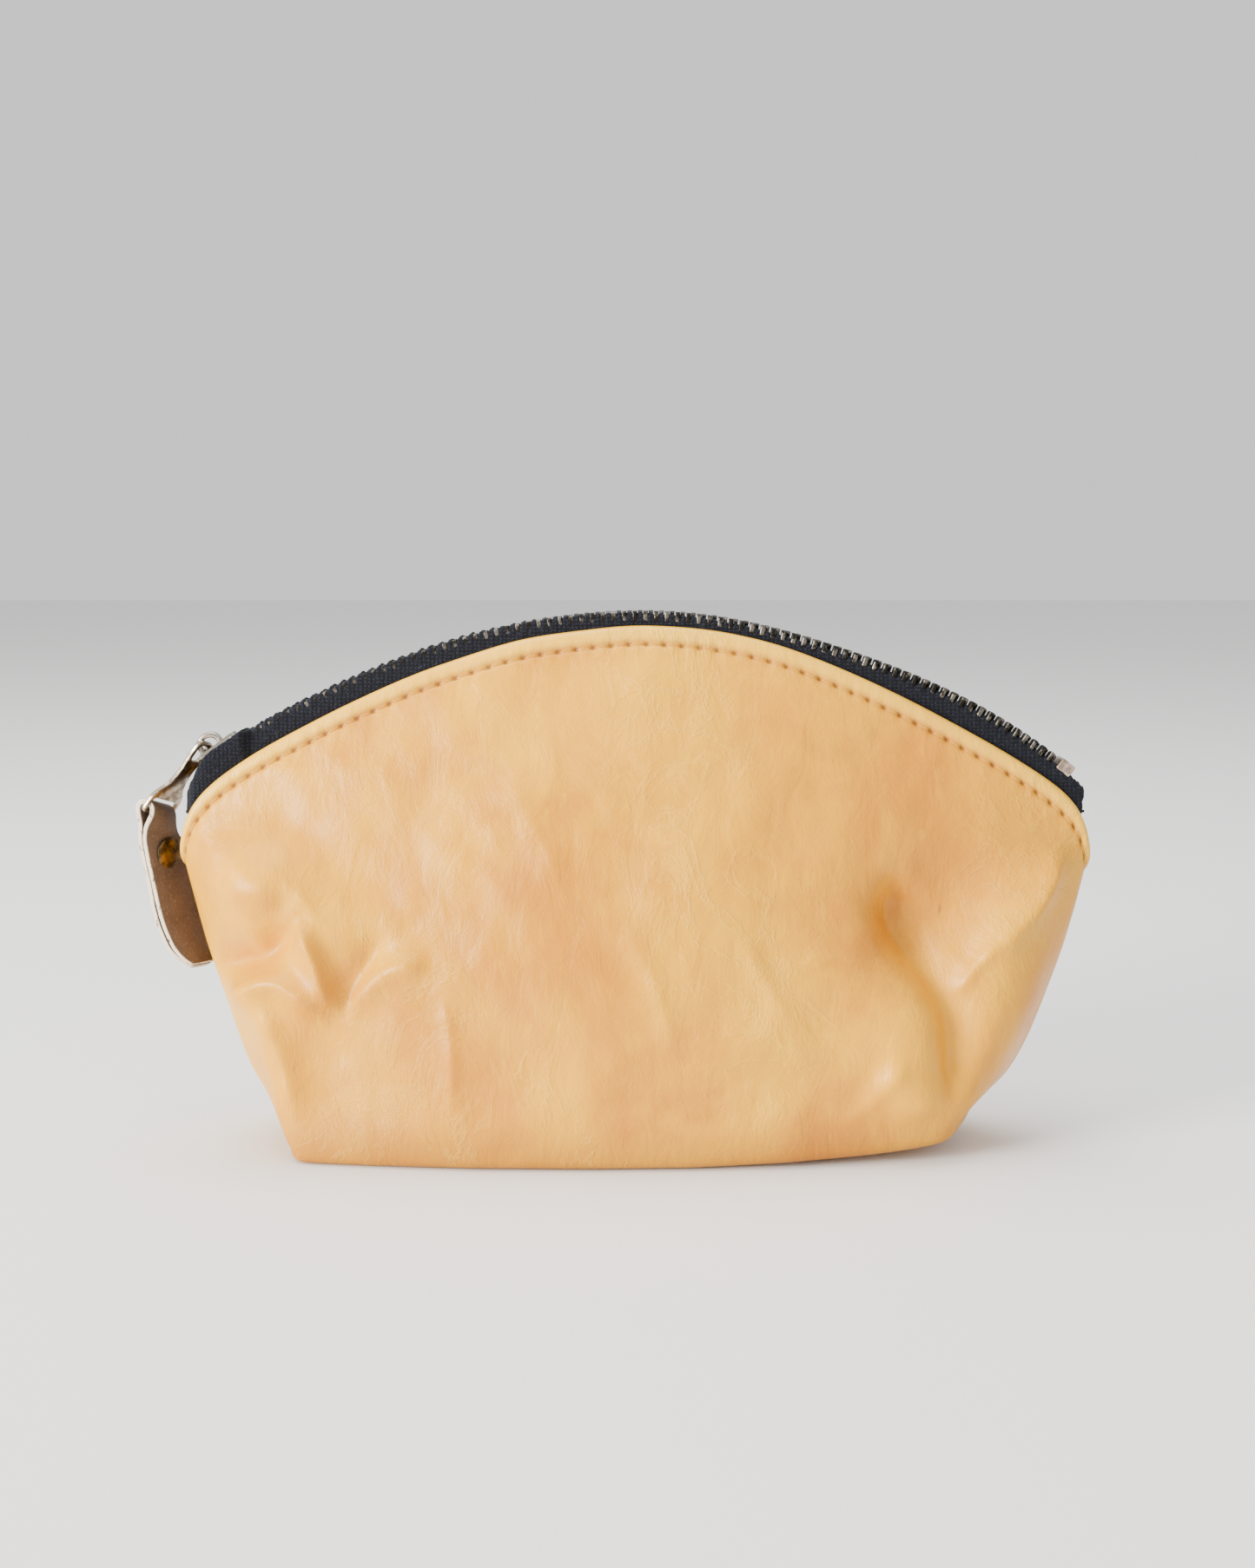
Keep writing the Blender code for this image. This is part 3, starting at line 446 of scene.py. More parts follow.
def front_relief(x, z):
    """The dents, folds and creases that use has pressed into the front."""
    d = np.zeros(x.shape)
    # left end: a pushed-in side with a W of folds
    d += mound(x, z, -83.0, 61.0, 12.0, 6.0, -24.0, 4.6)
    d += fold(x, z, [(-99.0, 40.5), (-91.3, 42.5), (-82.4, 46.0), (-74.7, 54.4), (-71.0, 58.0)],
              4.2, -4.6, 0.16, 0.2)
    d += fold(x, z, [(-94.5, 34.0), (-88.0, 36.4), (-80.1, 43.0), (-74.1, 38.0), (-66.4, 31.6)],
              3.6, 3.6, 0.30)
    d += fold(x, z, [(-77.0, 59.0), (-71.5, 49.5), (-68.0, 41.0), (-66.0, 34.0)], 3.4, 3.4, 0.2, -0.3)
    d += fold(x, z, [(-65.0, 32.5), (-62.6, 39.7), (-57.6, 48.0), (-55.0, 54.0)], 3.0, -1.9, 0.3)
    d += fold(x, z, [(-64.6, 33.0), (-59.0, 41.2), (-52.0, 45.4), (-44.0, 46.0)], 2.6, 1.9, 0.25)
    d += mound(x, z, -68.0, 24.0, 11.0, 7.0, 30.0, -2.2)
    d += fold(x, z, [(-84.5, 38.0), (-80.0, 28.0), (-77.0, 19.0), (-75.4, 10.0)], 3.4, 1.6, 0.3)
    d += mound(x, z, -62.0, 14.0, 9.0, 7.0, 0.0, -1.0)
    d += mound(x, z, -56.0, 62.0, 11.0, 13.0, 0.0, -1.0)
    # right end: a thumb-wide dent that runs down to the corner
    d += mound(x, z, 67.5, 56.5, 11.0, 8.5, 30.0, -5.4)
    d += fold(x, z, [(62.0, 66.0), (55.6, 62.0), (53.6, 56.0), (58.5, 50.6), (66.0, 44.6), (71.0, 36.2),
                     (70.6, 25.3), (70.6, 13.0)], 5.4, -4.6, 0.16, 0.3)
    d += fold(x, z, [(98.0, 71.0), (91.6, 59.2), (84.1, 51.5), (76.0, 44.0)], 3.6, 2.6, 0.3)
    d += fold(x, z, [(71.6, 37.0), (75.0, 42.6), (81.0, 49.6)], 1.8, 1.3, 0.3)
    d += mound(x, z, 60.0, 26.0, 9.0, 12.0, 18.0, 2.4)
    d += fold(x, z, [(52.0, 24.0), (60.0, 17.0), (66.5, 10.0)], 5.0, 1.2, 0.3)
    d += mound(x, z, 88.0, 36.0, 9.0, 15.0, -20.0, 2.6)
    # the belly between them
    d += mound(x, z, 8.0, 46.0, 34.0, 26.0, 0.0, 1.2)
    d += fold(x, z, [(26.9, 98.0), (25.3, 85.2), (22.9, 66.5)], 6.0, 0.35)
    d += fold(x, z, [(-1.5, 54.0), (5.7, 40.2), (9.0, 25.0)], 2.6, 0.6)
    d += fold(x, z, [(22.0, 54.0), (28.6, 42.0), (34.0, 32.0)], 2.2, 0.6)
    d += fold(x, z, [(-42.0, 40.0), (-39.8, 28.6), (-40.2, 14.0)], 1.9, 0.6)
    d += fold(x, z, [(-29.0, 88.0), (-23.1, 77.7), (-15.0, 64.0)], 3.0, 0.45)
    d += fold(x, z, [(44.0, 8.5), (53.5, 16.2), (60.0, 26.0)], 2.6, 0.8)
    return d * FRONT_DEPTH


def back_relief(x, z):
    """The back has softer dents of its own."""
    d = mound(x, z, -70.0, 58.0, 14.0, 9.0, 20.0, -3.0)
    d += fold(x, z, [(-92.0, 40.0), (-80.0, 44.0), (-68.0, 40.0), (-62.0, 30.0)], 3.2, -2.2)
    d += fold(x, z, [(-80.0, 30.0), (-77.0, 18.0), (-74.0, 8.0)], 4.5, 1.8)
    d += mound(x, z, 72.0, 62.0, 12.0, 8.0, -30.0, -3.0)
    d += fold(x, z, [(92.0, 44.0), (80.0, 48.0), (70.0, 42.0), (66.0, 30.0)], 3.4, -2.0)
    d += fold(x, z, [(64.0, 30.0), (70.0, 20.0), (72.0, 10.0)], 4.0, 1.6)
    d += mound(x, z, 0.0, 45.0, 36.0, 26.0, 0.0, 1.4)
    d += fold(x, z, [(-20.0, 92.0), (-12.0, 76.0), (-8.0, 58.0)], 4.5, 0.6)
    d += fold(x, z, [(20.0, 60.0), (26.0, 44.0), (24.0, 28.0)], 3.4, 0.6)
    d += fold(x, z, [(-40.0, 50.0), (-34.0, 36.0), (-36.0, 20.0)], 3.0, 0.6)
    return d


def ripple(x, z, seed):
    """Fine uneven waves, from a few random sines."""
    draw = np.random.default_rng(seed)
    d = np.zeros(x.shape)
    for size, amount in ((36.0, 0.30), (19.0, 0.16), (11.0, 0.08), (7.0, 0.045)):
        for _ in range(4):
            turn = draw.uniform(0.0, math.pi)
            shift = draw.uniform(0.0, 2.0 * math.pi)
            phase = (x * math.cos(turn) + z * math.sin(turn)) * 2.0 * math.pi / size
            bend = 0.8 * np.sin((x * math.sin(turn) - z * math.cos(turn)) * 2.0 * math.pi / (size * 1.7))
            d += amount * np.sin(phase + shift + bend) / 2.0
    return d


def grid_normals(p):
    """Unit normals of a grid of points (rows go down, columns go right)."""
    down = np.gradient(p, axis=0)
    right = np.gradient(p, axis=1)
    n = np.cross(down, right)
    n /= np.maximum(np.linalg.norm(n, axis=-1, keepdims=True), 1e-9)
    return n


def facing_front(p, row=40, column=270):
    """Normals of a front grid, turned so that its middle faces the camera (-Y)."""
    n = grid_normals(p)
    return -n if n[row, column, 1] > 0 else n


STITCH_AT = 4.4
STITCH_PITCH = 4.0
HEM_LEATHER = 2.0
PANEL_LEATHER = 1.25
MIDDLE_GAP = 0.25      # half the gap kept between front and back pieces at the middle plane
NEAR_RIM = 8.0         # rows closer to the rim than this keep their true distance from it
ROW_STEP = 0.42
TURN_ROUND = 3.0       # radius of the turn from the wall to the base
BASE_SEAM_HALF = 64.0
LINING_IN = 2.3
LINING_CLOTH = 0.45

columns = np.linspace(-1.0, 1.0, 541)
columns = np.sign(columns) * (1.0 - (1.0 - np.abs(columns)) ** 1.06)
near_rim = np.arange(0.0, NEAR_RIM, ROW_STEP)
wall_rows = np.concatenate([near_rim, np.linspace(NEAR_RIM, 118.0, 74)])


def panel_surface(relief, seed):
    """Grid points of the outside of a panel: wall, turn and half base."""
    s = columns[None, :]
    top = on_line(RIM, columns)[:, 1]
    foot = on_line(FOOT, columns)[:, 2]
    height = (top - foot)[None, :]
    # rows hold their distance from the rim near it, then spread evenly to the foot
    share = (wall_rows[:, None] - NEAR_RIM) / 110.0
    spread = NEAR_RIM + share * (height - NEAR_RIM)
    drop = np.where(wall_rows[:, None] <= NEAR_RIM, wall_rows[:, None], spread)
    t = np.clip(drop / height, 0.0, 1.0)
    p = wall(np.broadcast_to(s, t.shape), t)
    n = facing_front(p)
    x = p[..., 0]
    z = p[..., 2]
    to_seam = 1.0 - np.abs(s)
    edge = smooth(t / 0.10) * (0.15 + 0.85 * smooth(to_seam / 0.16)) * smooth(to_seam / 0.02)
    low = smooth((1.0 - t) / 0.10)
    amount = (relief(x, z) + ripple(x, z, seed)) * edge * low
    p = p + n * amount[..., None]
    p[..., 1] = np.minimum(p[..., 1], -MIDDLE_GAP)
    # the base: a tight round at the foot, then flat to the middle seam
    foot_line = p[-1]
    tangent = np.gradient(foot_line, axis=0)
    inward = np.stack([-tangent[:, 1], tangent[:, 0], np.zeros(len(tangent))], -1)
    inward /= np.linalg.norm(inward, axis=1, keepdims=True)
    inward[inward[:, 1] < -0.3] *= -1.0
    inward[0] = (1.0, 0.0, 0.0)
    inward[-1] = (-1.0, 0.0, 0.0)
    turn_rows = []
    radius = np.minimum(TURN_ROUND, foot_line[:, 2] - 0.1)[:, None]
    for k in range(1, 7):
        a = math.pi / 2.0 * k / 6.0
        q = foot_line + inward * radius * (1.0 - math.cos(a))
        q[:, 2] = foot_line[:, 2] - radius[:, 0] * math.sin(a)
        q[:, 1] = np.minimum(q[:, 1], -MIDDLE_GAP)
        turn_rows.append(q)
    last = turn_rows[-1]
    middle = np.stack([BASE_SEAM_HALF * columns, np.full(len(columns), -MIDDLE_GAP),
                       last[:, 2] * 0.6 + 0.15], -1)
    base_rows = [last + (middle - last) * (k / 14.0) for k in range(1, 15)]
    return np.concatenate([p, np.array(turn_rows), np.array(base_rows)]), drop


def seam_pull(p):
    """Draws the leather in where the side seams gather it."""
    s = columns[None, :]
    count = len(wall_rows)
    pucker = np.exp(-((1.0 - np.abs(s)) / 0.012)) * 0.5
    p[:count, :, 1] += pucker * 0.8
    p[..., 1] = np.minimum(p[..., 1], -0.22)
    return p


def rim_length():
    """Length along the rim at each column."""
    line = on_line(RIM, columns)
    return np.concatenate([[0.0], np.cumsum(np.linalg.norm(np.diff(line, axis=0), axis=1))])


RIM_ALONG = rim_length()


def panel_mesh(p, thickness_of, sign):
    """A closed sheet from its outer grid: the inside is the outside moved in."""
    n = facing_front(p)
    n[:, [0, -1], 1] = 0.0
    n[:, 0] = (-1.0, 0.0, 0.0)
    n[:, -1] = (1.0, 0.0, 0.0)
    n[-1] = (0.0, 0.0, -1.0)
    inner = p - n * thickness_of[..., None]
    inner[..., 1] = np.minimum(inner[..., 1], -MIDDLE_GAP)
    inner[..., 2] = np.maximum(inner[..., 2], 0.3)
    verts, faces = closed_sheet(p, inner)
    verts[:, 1] *= sign
    return verts, faces


def closed_sheet(one, two):
    """Points and faces of a closed sheet between two matching grids."""
    rows, cols = one.shape[:2]
    verts = np.concatenate([one.reshape(-1, 3), two.reshape(-1, 3)])
    index = np.arange(rows * cols).reshape(rows, cols)
    a = index[:-1, :-1].ravel()
    b = index[:-1, 1:].ravel()
    c = index[1:, 1:].ravel()
    d = index[1:, :-1].ravel()
    size = rows * cols
    faces = np.stack([a, b, c, d], 1).tolist()
    faces += np.stack([d + size, c + size, b + size, a + size], 1).tolist()
    ring = np.concatenate([index[0, :], index[1:, -1], index[-1, -2::-1], index[-2:0:-1, 0]])
    after = np.roll(ring, -1)
    faces += np.stack([ring, after, after + size, ring + size], 1).tolist()
    return verts, faces


def rim_shape(p, drop):
    """The turned edge: a soft roll, and a groove where the stitching pulls it down."""
    n = facing_front(p)
    d = np.zeros(p.shape[:2])
    count = len(wall_rows)
    slope = drop[:count]
    roll = np.where(slope < STITCH_AT, 0.62 * np.sin(math.pi * np.clip(slope / STITCH_AT, 0, 1)) ** 0.8, 0.0)
    first = -1.15 * np.clip(1.0 - slope / 1.2, 0.0, 1.0) ** 2
    groove = -0.34 * np.exp(-((slope - STITCH_AT) / 0.60) ** 2)
    ends = smooth((1.0 - np.abs(columns)) / 0.02)[None, :]
    d[:count] = (roll + first + groove * ends)
    phase = (RIM_ALONG / STITCH_PITCH) % 1.0
    hole = np.exp(-(np.minimum(phase, 1.0 - phase) * STITCH_PITCH / 0.50) ** 4)[None, :]
    d[:count] -= 0.45 * hole * np.exp(-((slope - STITCH_AT) / 0.40) ** 2) * ends
    puff = 0.10 * np.cos(2.0 * math.pi * phase)[None, :]
    d[:count] -= puff * np.exp(-((slope - STITCH_AT - 0.2) / 1.6) ** 2) * ends
    return p + n * d[..., None]


def edge_paint(thing, p, drop):
    """Painted light and shade on the leather: a paler band from the rim to the stitching that is partly wear
    and partly painted highlight, and painted shade in the stitch holes, just above the stitching and towards
    the bottom.
    """
    count = len(wall_rows)
    rim_rub_and_sheen = np.zeros(p.shape[:2])
    deep = np.zeros(p.shape[:2])
    # painted highlight and wear: a paler band from the rim down to the stitching
    rim_rub_and_sheen[:count] += 0.55 * smooth((STITCH_AT - drop) / 1.2) * smooth(drop / 0.5 + 0.3)
    # painted shade in the stitch holes
    phase = (RIM_ALONG / STITCH_PITCH) % 1.0
    hole = np.exp(-(np.minimum(phase, 1.0 - phase) * STITCH_PITCH / 0.72) ** 4)[None, :]
    deep[:count] += 1.0 * hole * np.exp(-((drop - STITCH_AT) / 0.30) ** 2)
    # painted shade in a band just above the stitching
    deep[:count] += 0.22 * np.exp(-((drop - STITCH_AT + 0.5) / 0.7) ** 2)
    # painted shade and painted reflection from below: darker towards the bottom
    low = np.clip(p[..., 2], 0.0, None)
    deep += 0.40 * smooth((14.0 - low) / 14.0)
    inside = np.zeros(p.shape[0] * p.shape[1])
    attribute(thing, "rim_rub_and_sheen", np.concatenate([rim_rub_and_sheen.ravel(), inside]))
    attribute(thing, "deep", np.concatenate([deep.ravel(), inside]))


surfaces = {}
for side, sign, relief, seed in (("front", 1.0, front_relief, 3), ("back", -1.0, back_relief, 11)):
    base, drop = panel_surface(relief, seed)
    base = seam_pull(base)
    p = rim_shape(base, drop)
    thick = np.full(p.shape[:2], PANEL_LEATHER)
    thick[:len(wall_rows)] += (HEM_LEATHER - PANEL_LEATHER) * smooth((6.0 - drop) / 2.0)
    thick[0] = 0.7
    thick[1] = 1.5
    verts, faces = panel_mesh(p, thick, sign)
    panel = add_mesh(side + "_leather", verts, faces, LEATHER)
    edge_paint(panel, p, drop)
    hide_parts(side + "_panel", "mouth_panel_" + side)
    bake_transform(panel)
    surfaces[side] = (base, sign)

# ---------------------------------------------------------------- lining

for side in ("front", "back"):
    base, sign = surfaces[side]
    count = len(wall_rows)
    pick_rows = np.concatenate([np.arange(20, count, 4), np.arange(count, len(base), 4), [len(base) - 1]])
    pick_cols = np.arange(0, len(columns), 9)
    grid = base[pick_rows][:, pick_cols]
    n = facing_front(grid, 6, 30)
    n[:, 0] = (-1.0, 0.0, 0.0)
    n[:, -1] = (1.0, 0.0, 0.0)
    n[-1] = (0.0, 0.0, -1.0)
    grid = grid - n * LINING_IN
    grid[..., 1] = np.minimum(grid[..., 1], -MIDDLE_GAP)
    grid[..., 2] = np.maximum(grid[..., 2], 1.9)
    inner = grid - n * LINING_CLOTH
    inner[..., 1] = np.minimum(inner[..., 1], -MIDDLE_GAP)
    verts, faces = closed_sheet(grid, inner)
    verts[:, 1] *= sign
    lining = add_mesh(side + "_lining_cloth", verts, faces, LINING)
    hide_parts(side + "_lining", "mouth_lining_" + side)
    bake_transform(lining)

# ---------------------------------------------------------------- topstitching


def tube_mesh(path, radii, sides=6):
    """Points and faces of a closed tube; radii may vary along it."""
    path = np.asarray(path, float)
    count = len(path)
    way = np.gradient(path, axis=0)
    way /= np.linalg.norm(way, axis=1, keepdims=True)
    up = np.array([0.0, 1.0, 0.0])
    across = np.cross(way, up)
    across /= np.maximum(np.linalg.norm(across, axis=1, keepdims=True), 1e-9)
    third = np.cross(way, across)
    turn = np.linspace(0.0, 2.0 * math.pi, sides, endpoint=False)
    ring = (across[:, None, :] * np.cos(turn)[None, :, None]
            + third[:, None, :] * np.sin(turn)[None, :, None])
    points = path[:, None, :] + ring * np.asarray(radii)[:, None, None]
    index = np.arange(count * sides).reshape(count, sides)
    nxt = np.roll(index, -1, axis=1)
    faces = np.stack([index[:-1].ravel(), nxt[:-1].ravel(), nxt[1:].ravel(), index[1:].ravel()], 1).tolist()
    faces.append(index[0].tolist())
    faces.append(index[-1][::-1].tolist())
    return points.reshape(-1, 3), faces


def join(parts):
    """Several point and face lists as one."""
    verts = []
    faces = []
    start = 0
    for v, f in parts:
        verts.append(v)
        faces += [[k + start for k in face] for face in f]
        start += len(v)
    return np.concatenate(verts), faces


for side in ("front", "back"):
    base, sign = surfaces[side]
    n = facing_front(base)
    row = STITCH_AT / ROW_STEP
    r0 = int(row)
    part = row - r0
    seam = base[r0] * (1 - part) + base[r0 + 1] * part
    normal = n[r0]
    parts = []
    first = math.ceil(RIM_ALONG[0] / STITCH_PITCH + 0.4)
    last = int(RIM_ALONG[-1] / STITCH_PITCH - 0.4)
    for k in range(first, last):
        along = STITCH_PITCH * (k + np.linspace(0.15, 0.85, 9))
        path = np.stack([np.interp(along, RIM_ALONG, seam[:, m]) for m in range(3)], 1)
        out = np.stack([np.interp(along, RIM_ALONG, normal[:, m]) for m in range(3)], 1)
        u = np.linspace(-1.0, 1.0, 9)
        lift = 0.12 - 0.62 * np.abs(u) ** 4
        slant = rng.normal(0.0, 0.05)
        path = path + out * (lift - 0.30)[:, None]
        path[:, 2] += slant * u
        radii = 0.24 * (1.0 - 0.25 * np.abs(u) ** 3)
        parts.append(tube_mesh(path, radii))
    verts, faces = join(parts)
    verts[:, 1] *= sign
    stitches = add_mesh(side + "_topstitching", verts, faces, THREAD)
    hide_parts("topstitch_" + side)
    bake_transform(stitches)

# ---------------------------------------------------------------- the zip

R = 157.0
RC = -36.2


def chain(angle, r, y):
    """A point on the zip's arc: r out from its mean line, y across."""
    angle = np.asarray(angle, float)
    x = (R + r) * np.sin(angle)
    z = RC + (R + r) * np.cos(angle)
    sag = -1.5 * np.exp(-0.5 * ((np.degrees(angle) + 24.0) / 8.5) ** 2)
    sag += -1.0 * np.exp(-0.5 * ((np.degrees(angle) - 19.0) / 7.0) ** 2)
    sag += 0.5 * np.exp(-0.5 * ((np.degrees(angle) - 4.0) / 7.0) ** 2)
    return np.stack([x, np.broadcast_to(y, x.shape), z + sag], -1)


PITCH = 2.4 / R


def tooth_profile():
    """A tooth seen along the zip: legs round the cord, waist, and head."""
    return [(-3.15, -1.15), (-3.15, 0.75), (-2.8, 1.1), (-1.5, 1.15), (-0.2, 1.0), (0.75, 0.9), (1.0, 0.6),
            (1.0, -0.6), (0.75, -0.9), (-0.2, -1.0), (-1.5, -1.2), (-2.8, -1.3)]


def tooth(angle, sign):
    """One tooth: wide legs outside, a narrower head over the middle line."""
    outline = tooth_profile()
    half_at = {-3.15: 0.44, -2.8: 0.54, -1.5: 0.56, -0.2: 0.50, 0.75: 0.42, 1.0: 0.30}
    points = []
    for flip in (-1.0, 1.0):
        for y, r in outline:
            half = half_at[y] * flip / R
            points.append(chain(angle + half, r, y * sign))
    count = len(outline)
    faces = [list(range(count)), list(range(2 * count - 1, count - 1, -1))]
    for k in range(count):
        m = (k + 1) % count
        faces.append([k, m, m + count, k + count])
    return np.array(points), faces


TEETH_FROM = math.radians(-37.6)
TEETH_TO = math.radians(37.3)
for side, sign in (("front", 1.0), ("back", -1.0)):
    shift = 0.0 if side == "front" else 0.5
    parts = []
    k = 0
    while TEETH_FROM + (k + shift) * PITCH < TEETH_TO:
        parts.append(tooth(TEETH_FROM + (k + shift) * PITCH, sign))
        k += 1
    verts, faces = join(parts)
    row = add_mesh(side + "_zip_teeth", verts, faces, TEETH, shade=False)
    soften = row.modifiers.new("edges", "BEVEL")
    soften.width = 0.00013
    soften.segments = 1
    soften.limit_method = "ANGLE"
    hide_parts("zip_teeth_" + side, "zip_teeth_closed_end_" + side, "zip_teeth_open_end_" + side)
    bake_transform(row)

TAPE_LEFT = -101.3
TAPE_RIGHT = 101.6


def tape_surface(sign, seed):
    """The tape's outer face: it stands up from inside the leather and curls over to the teeth."""
    draw = np.random.default_rng(seed)
    count = 860
    xs = np.linspace(TAPE_LEFT, TAPE_RIGHT, count)
    fuzz = blur(draw.normal(0.0, 1.0, count)[:, None], 1.3)[:, 0]
    loose = blur(draw.normal(0.0, 1.0, count)[:, None], 9.0)[:, 0]

    def at(r, y):
        angle = np.arcsin(np.clip(xs / (R + r), -1.0, 1.0))
        q = chain(angle, r, y)
        q[:, 0] = xs
        return q

    degrees = np.degrees(np.arcsin(xs / R))
    # on the closed side the tape stands as high as the teeth, on the open side it lies lower
    high = np.interp(degrees, (-41.0, -37.0, -33.0, -12.0, 2.0, 14.0, 41.0),
                     (-2.4, 0.3, 1.5, 1.1, 0.35, -0.35, -0.7))
    beat = np.cos((np.radians(degrees) - TEETH_FROM) / PITCH * 2.0 * math.pi)
    high = high - 0.34 * beat * np.interp(degrees, (-41.0, 0.0, 41.0), (0.7, 1.0, 0.8)) + 0.16 * fuzz
    shift = 0.10 * fuzz + 0.35 * loose
    # beside the parked slider the tape stands in front of it
    front = smooth((degrees + 40.9) / 3.4) * smooth((-33.2 - degrees) / 1.3)
    high = high * (1.0 - front) + (2.3 + 0.16 * fuzz) * front
    rows = []
    for y, r, wide in ((-1.5, -0.30, -4.45), (-2.0, -0.02, -4.7), (-2.6, -0.08, -5.0), (-3.05, -0.55, -5.15)):
        side_y = (y - 0.25 * shift) * (1.0 - front) + wide * front
        rows.append(at(high + r, side_y * sign))
    for k in range(1, 19):
        u = k / 18.0
        r = (high - 1.0) * (1.0 - u) + -16.0 * u
        y = -3.15 - 0.35 * smooth(u * 5.0) + 1.6 * smooth(u * 1.3 - 0.25)
        y = y + shift * smooth(u * 4.0) * (1.0 - u)
        bulge = -5.15 + 3.2 * smooth(u * 1.15)
        rows.append(at(r, (y * (1.0 - front) + bulge * front) * sign))
    p = np.stack(rows)
    p[..., 2] = np.maximum(p[..., 2], 76.5)
    ends = smooth((102.6 - np.abs(p[..., 0])) / 3.0)
    p[..., 1] = p[..., 1] * (0.35 + 0.65 * ends)
    return p


for side, sign in (("front", 1.0), ("back", -1.0)):
    p = tape_surface(sign, 21 if side == "front" else 22)
    rows, cols = p.shape[:2]
    fray = np.random.default_rng(31)
    for edge, way in ((0, -1.0), (cols - 1, 1.0)):
        p[:, edge, 0] += way * np.abs(blur(fray.normal(0.0, 0.5, rows)[:, None], 0.7)[:, 0])
    n = grid_normals(p)
    if n[8, cols // 2, 1] * sign > 0:
        n = -n
    verts, faces = closed_sheet(p, p - n * 0.55)
    tape = add_mesh(side + "_zip_tape", verts, faces, TAPE)
    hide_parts("zip_tape_" + side, "zip_tape_closed_end_" + side, "zip_tape_open_end_" + side)
    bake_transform(tape)

# ---------------------------------------------------------------- slider, tab and strap

TURN = math.radians(-36.4)
STRAP_LOOP = 1.95      # middle of the strap round the tab's bar
STRAP_BACK = 3.0       # the strap hangs this far behind the seam
STRAP_TURN = -38.0
PIVOT = (-97.3917, 0.0, 92.0230)
TAB_END = (-109.0, 0.0, 76.3)


def slider_place(u, y, r):
    """A point on the slider: u along the zip, y across, r out from the row of teeth."""
    return (R * math.sin(TURN) + u * math.cos(TURN) + r * math.sin(TURN), y,
            RC + R * math.cos(TURN) - u * math.sin(TURN) + r * math.cos(TURN))


def softened(name, source, mat, body, width, segments=3):
    """A copy of a CAD piece with its edges rounded over."""
    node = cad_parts[source]
    thing = bpy.data.objects.new(name, node.data.copy())
    bpy.context.scene.collection.objects.link(thing)
    thing.matrix_world = node.matrix_world.copy()
    thing.data.materials.clear()
    thing.data.materials.append(mat)
    rounder = thing.modifiers.new("rounded", "BEVEL")
    rounder.width = width * MM
    rounder.segments = segments
    rounder.limit_method = "ANGLE"
    rounder.angle_limit = math.radians(35.0)
    for polygon in thing.data.polygons:
        polygon.use_smooth = True
    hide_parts(source)
    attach(thing, body)
    return thing


body = softened("slider_casting", "slider_body", NICKEL, "slider", 0.22)

WAY = Vector((TAB_END[0] - PIVOT[0], 0.0, TAB_END[2] - PIVOT[2]))
TAB_LENGTH = WAY.length
WAY.normalize()
TAB_NORMAL = WAY.cross(Vector((0.0, 1.0, 0.0))).normalized()
TAB_TURN = math.radians(28.0)
TAB_ACROSS = Vector((0.0, 1.0, 0.0)) * math.cos(TAB_TURN) + TAB_NORMAL * math.sin(TAB_TURN)
TAB_FACE = TAB_NORMAL * math.cos(TAB_TURN) - Vector((0.0, 1.0, 0.0)) * math.sin(TAB_TURN)


def plate(name, outline, half, mat):
    """A flat plate in the pull tab's plane from (along, across) points."""
    points = []
    for side in (-1.0, 1.0):
        for along, across in outline:
            q = Vector(PIVOT) + WAY * along + TAB_ACROSS * across + TAB_FACE * (half * side)
            points.append(tuple(q))
    count = len(outline)
    faces = [list(range(count)), list(range(2 * count - 1, count - 1, -1))]
    for k in range(count):
        m = (k + 1) % count
        faces.append([k, m, m + count, k + count])
    return add_mesh(name, points, faces, mat)


def rounded_outline(points, steps=5):
    """A closed outline with its corners cut round."""
    points = np.array(points, float)
    found = []
    for k in range(len(points)):
        before = points[k - 1]
        here = points[k]
        after = points[(k + 1) % len(points)]
        reach = min(0.42 * min(np.linalg.norm(before - here), np.linalg.norm(after - here)), 1.4)
        a = here + (before - here) / np.linalg.norm(before - here) * reach
        b = here + (after - here) / np.linalg.norm(after - here) * reach
        for m in range(steps + 1):
            u = m / steps
            found.append(tuple(a * (1 - u) ** 2 + here * 2 * u * (1 - u) + b * u * u))
    return found


half_shape = [(-0.6, -2.3), (1.0, -2.7), (4.6, -2.6), (7.4, -2.1), (TAB_LENGTH - 8.0, -2.7),
              (TAB_LENGTH - 4.4, -5.5), (TAB_LENGTH + 0.5, -5.5)]
shape = half_shape + [(a, -b) for a, b in reversed(half_shape)]
tab = plate("pull_tab_plate", rounded_outline(shape), 0.5, OLD_NICKEL)
low = TAB_LENGTH - 0.55
eye = plate("eye_cut", rounded_outline([(0.5, -1.6), (4.8, -1.6), (4.8, 1.6), (0.5, 1.6)]), 3.0, OLD_NICKEL)
gap = plate("slot_cut", rounded_outline([(low - 3.1, -4.6), (low, -4.6), (low, 4.6), (low - 3.1, 4.6)]), 3.0,
            OLD_NICKEL)
for cutter in (eye, gap):
    cut = tab.modifiers.new("cut", "BOOLEAN")
    cut.operation = "DIFFERENCE"
    cut.solver = "EXACT"
    cut.object = cutter
rounder = tab.modifiers.new("rounded", "BEVEL")
rounder.width = 0.2 * MM
rounder.segments = 3
rounder.limit_method = "ANGLE"
rounder.angle_limit = math.radians(50.0)
shaped = bpy.data.meshes.new_from_object(tab.evaluated_get(bpy.context.evaluated_depsgraph_get()))
tab.modifiers.clear()
tab.data = shaped
for cutter in (eye, gap):
    bpy.data.objects.remove(cutter)
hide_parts("pull_tab")
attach(tab, "pull_tab")

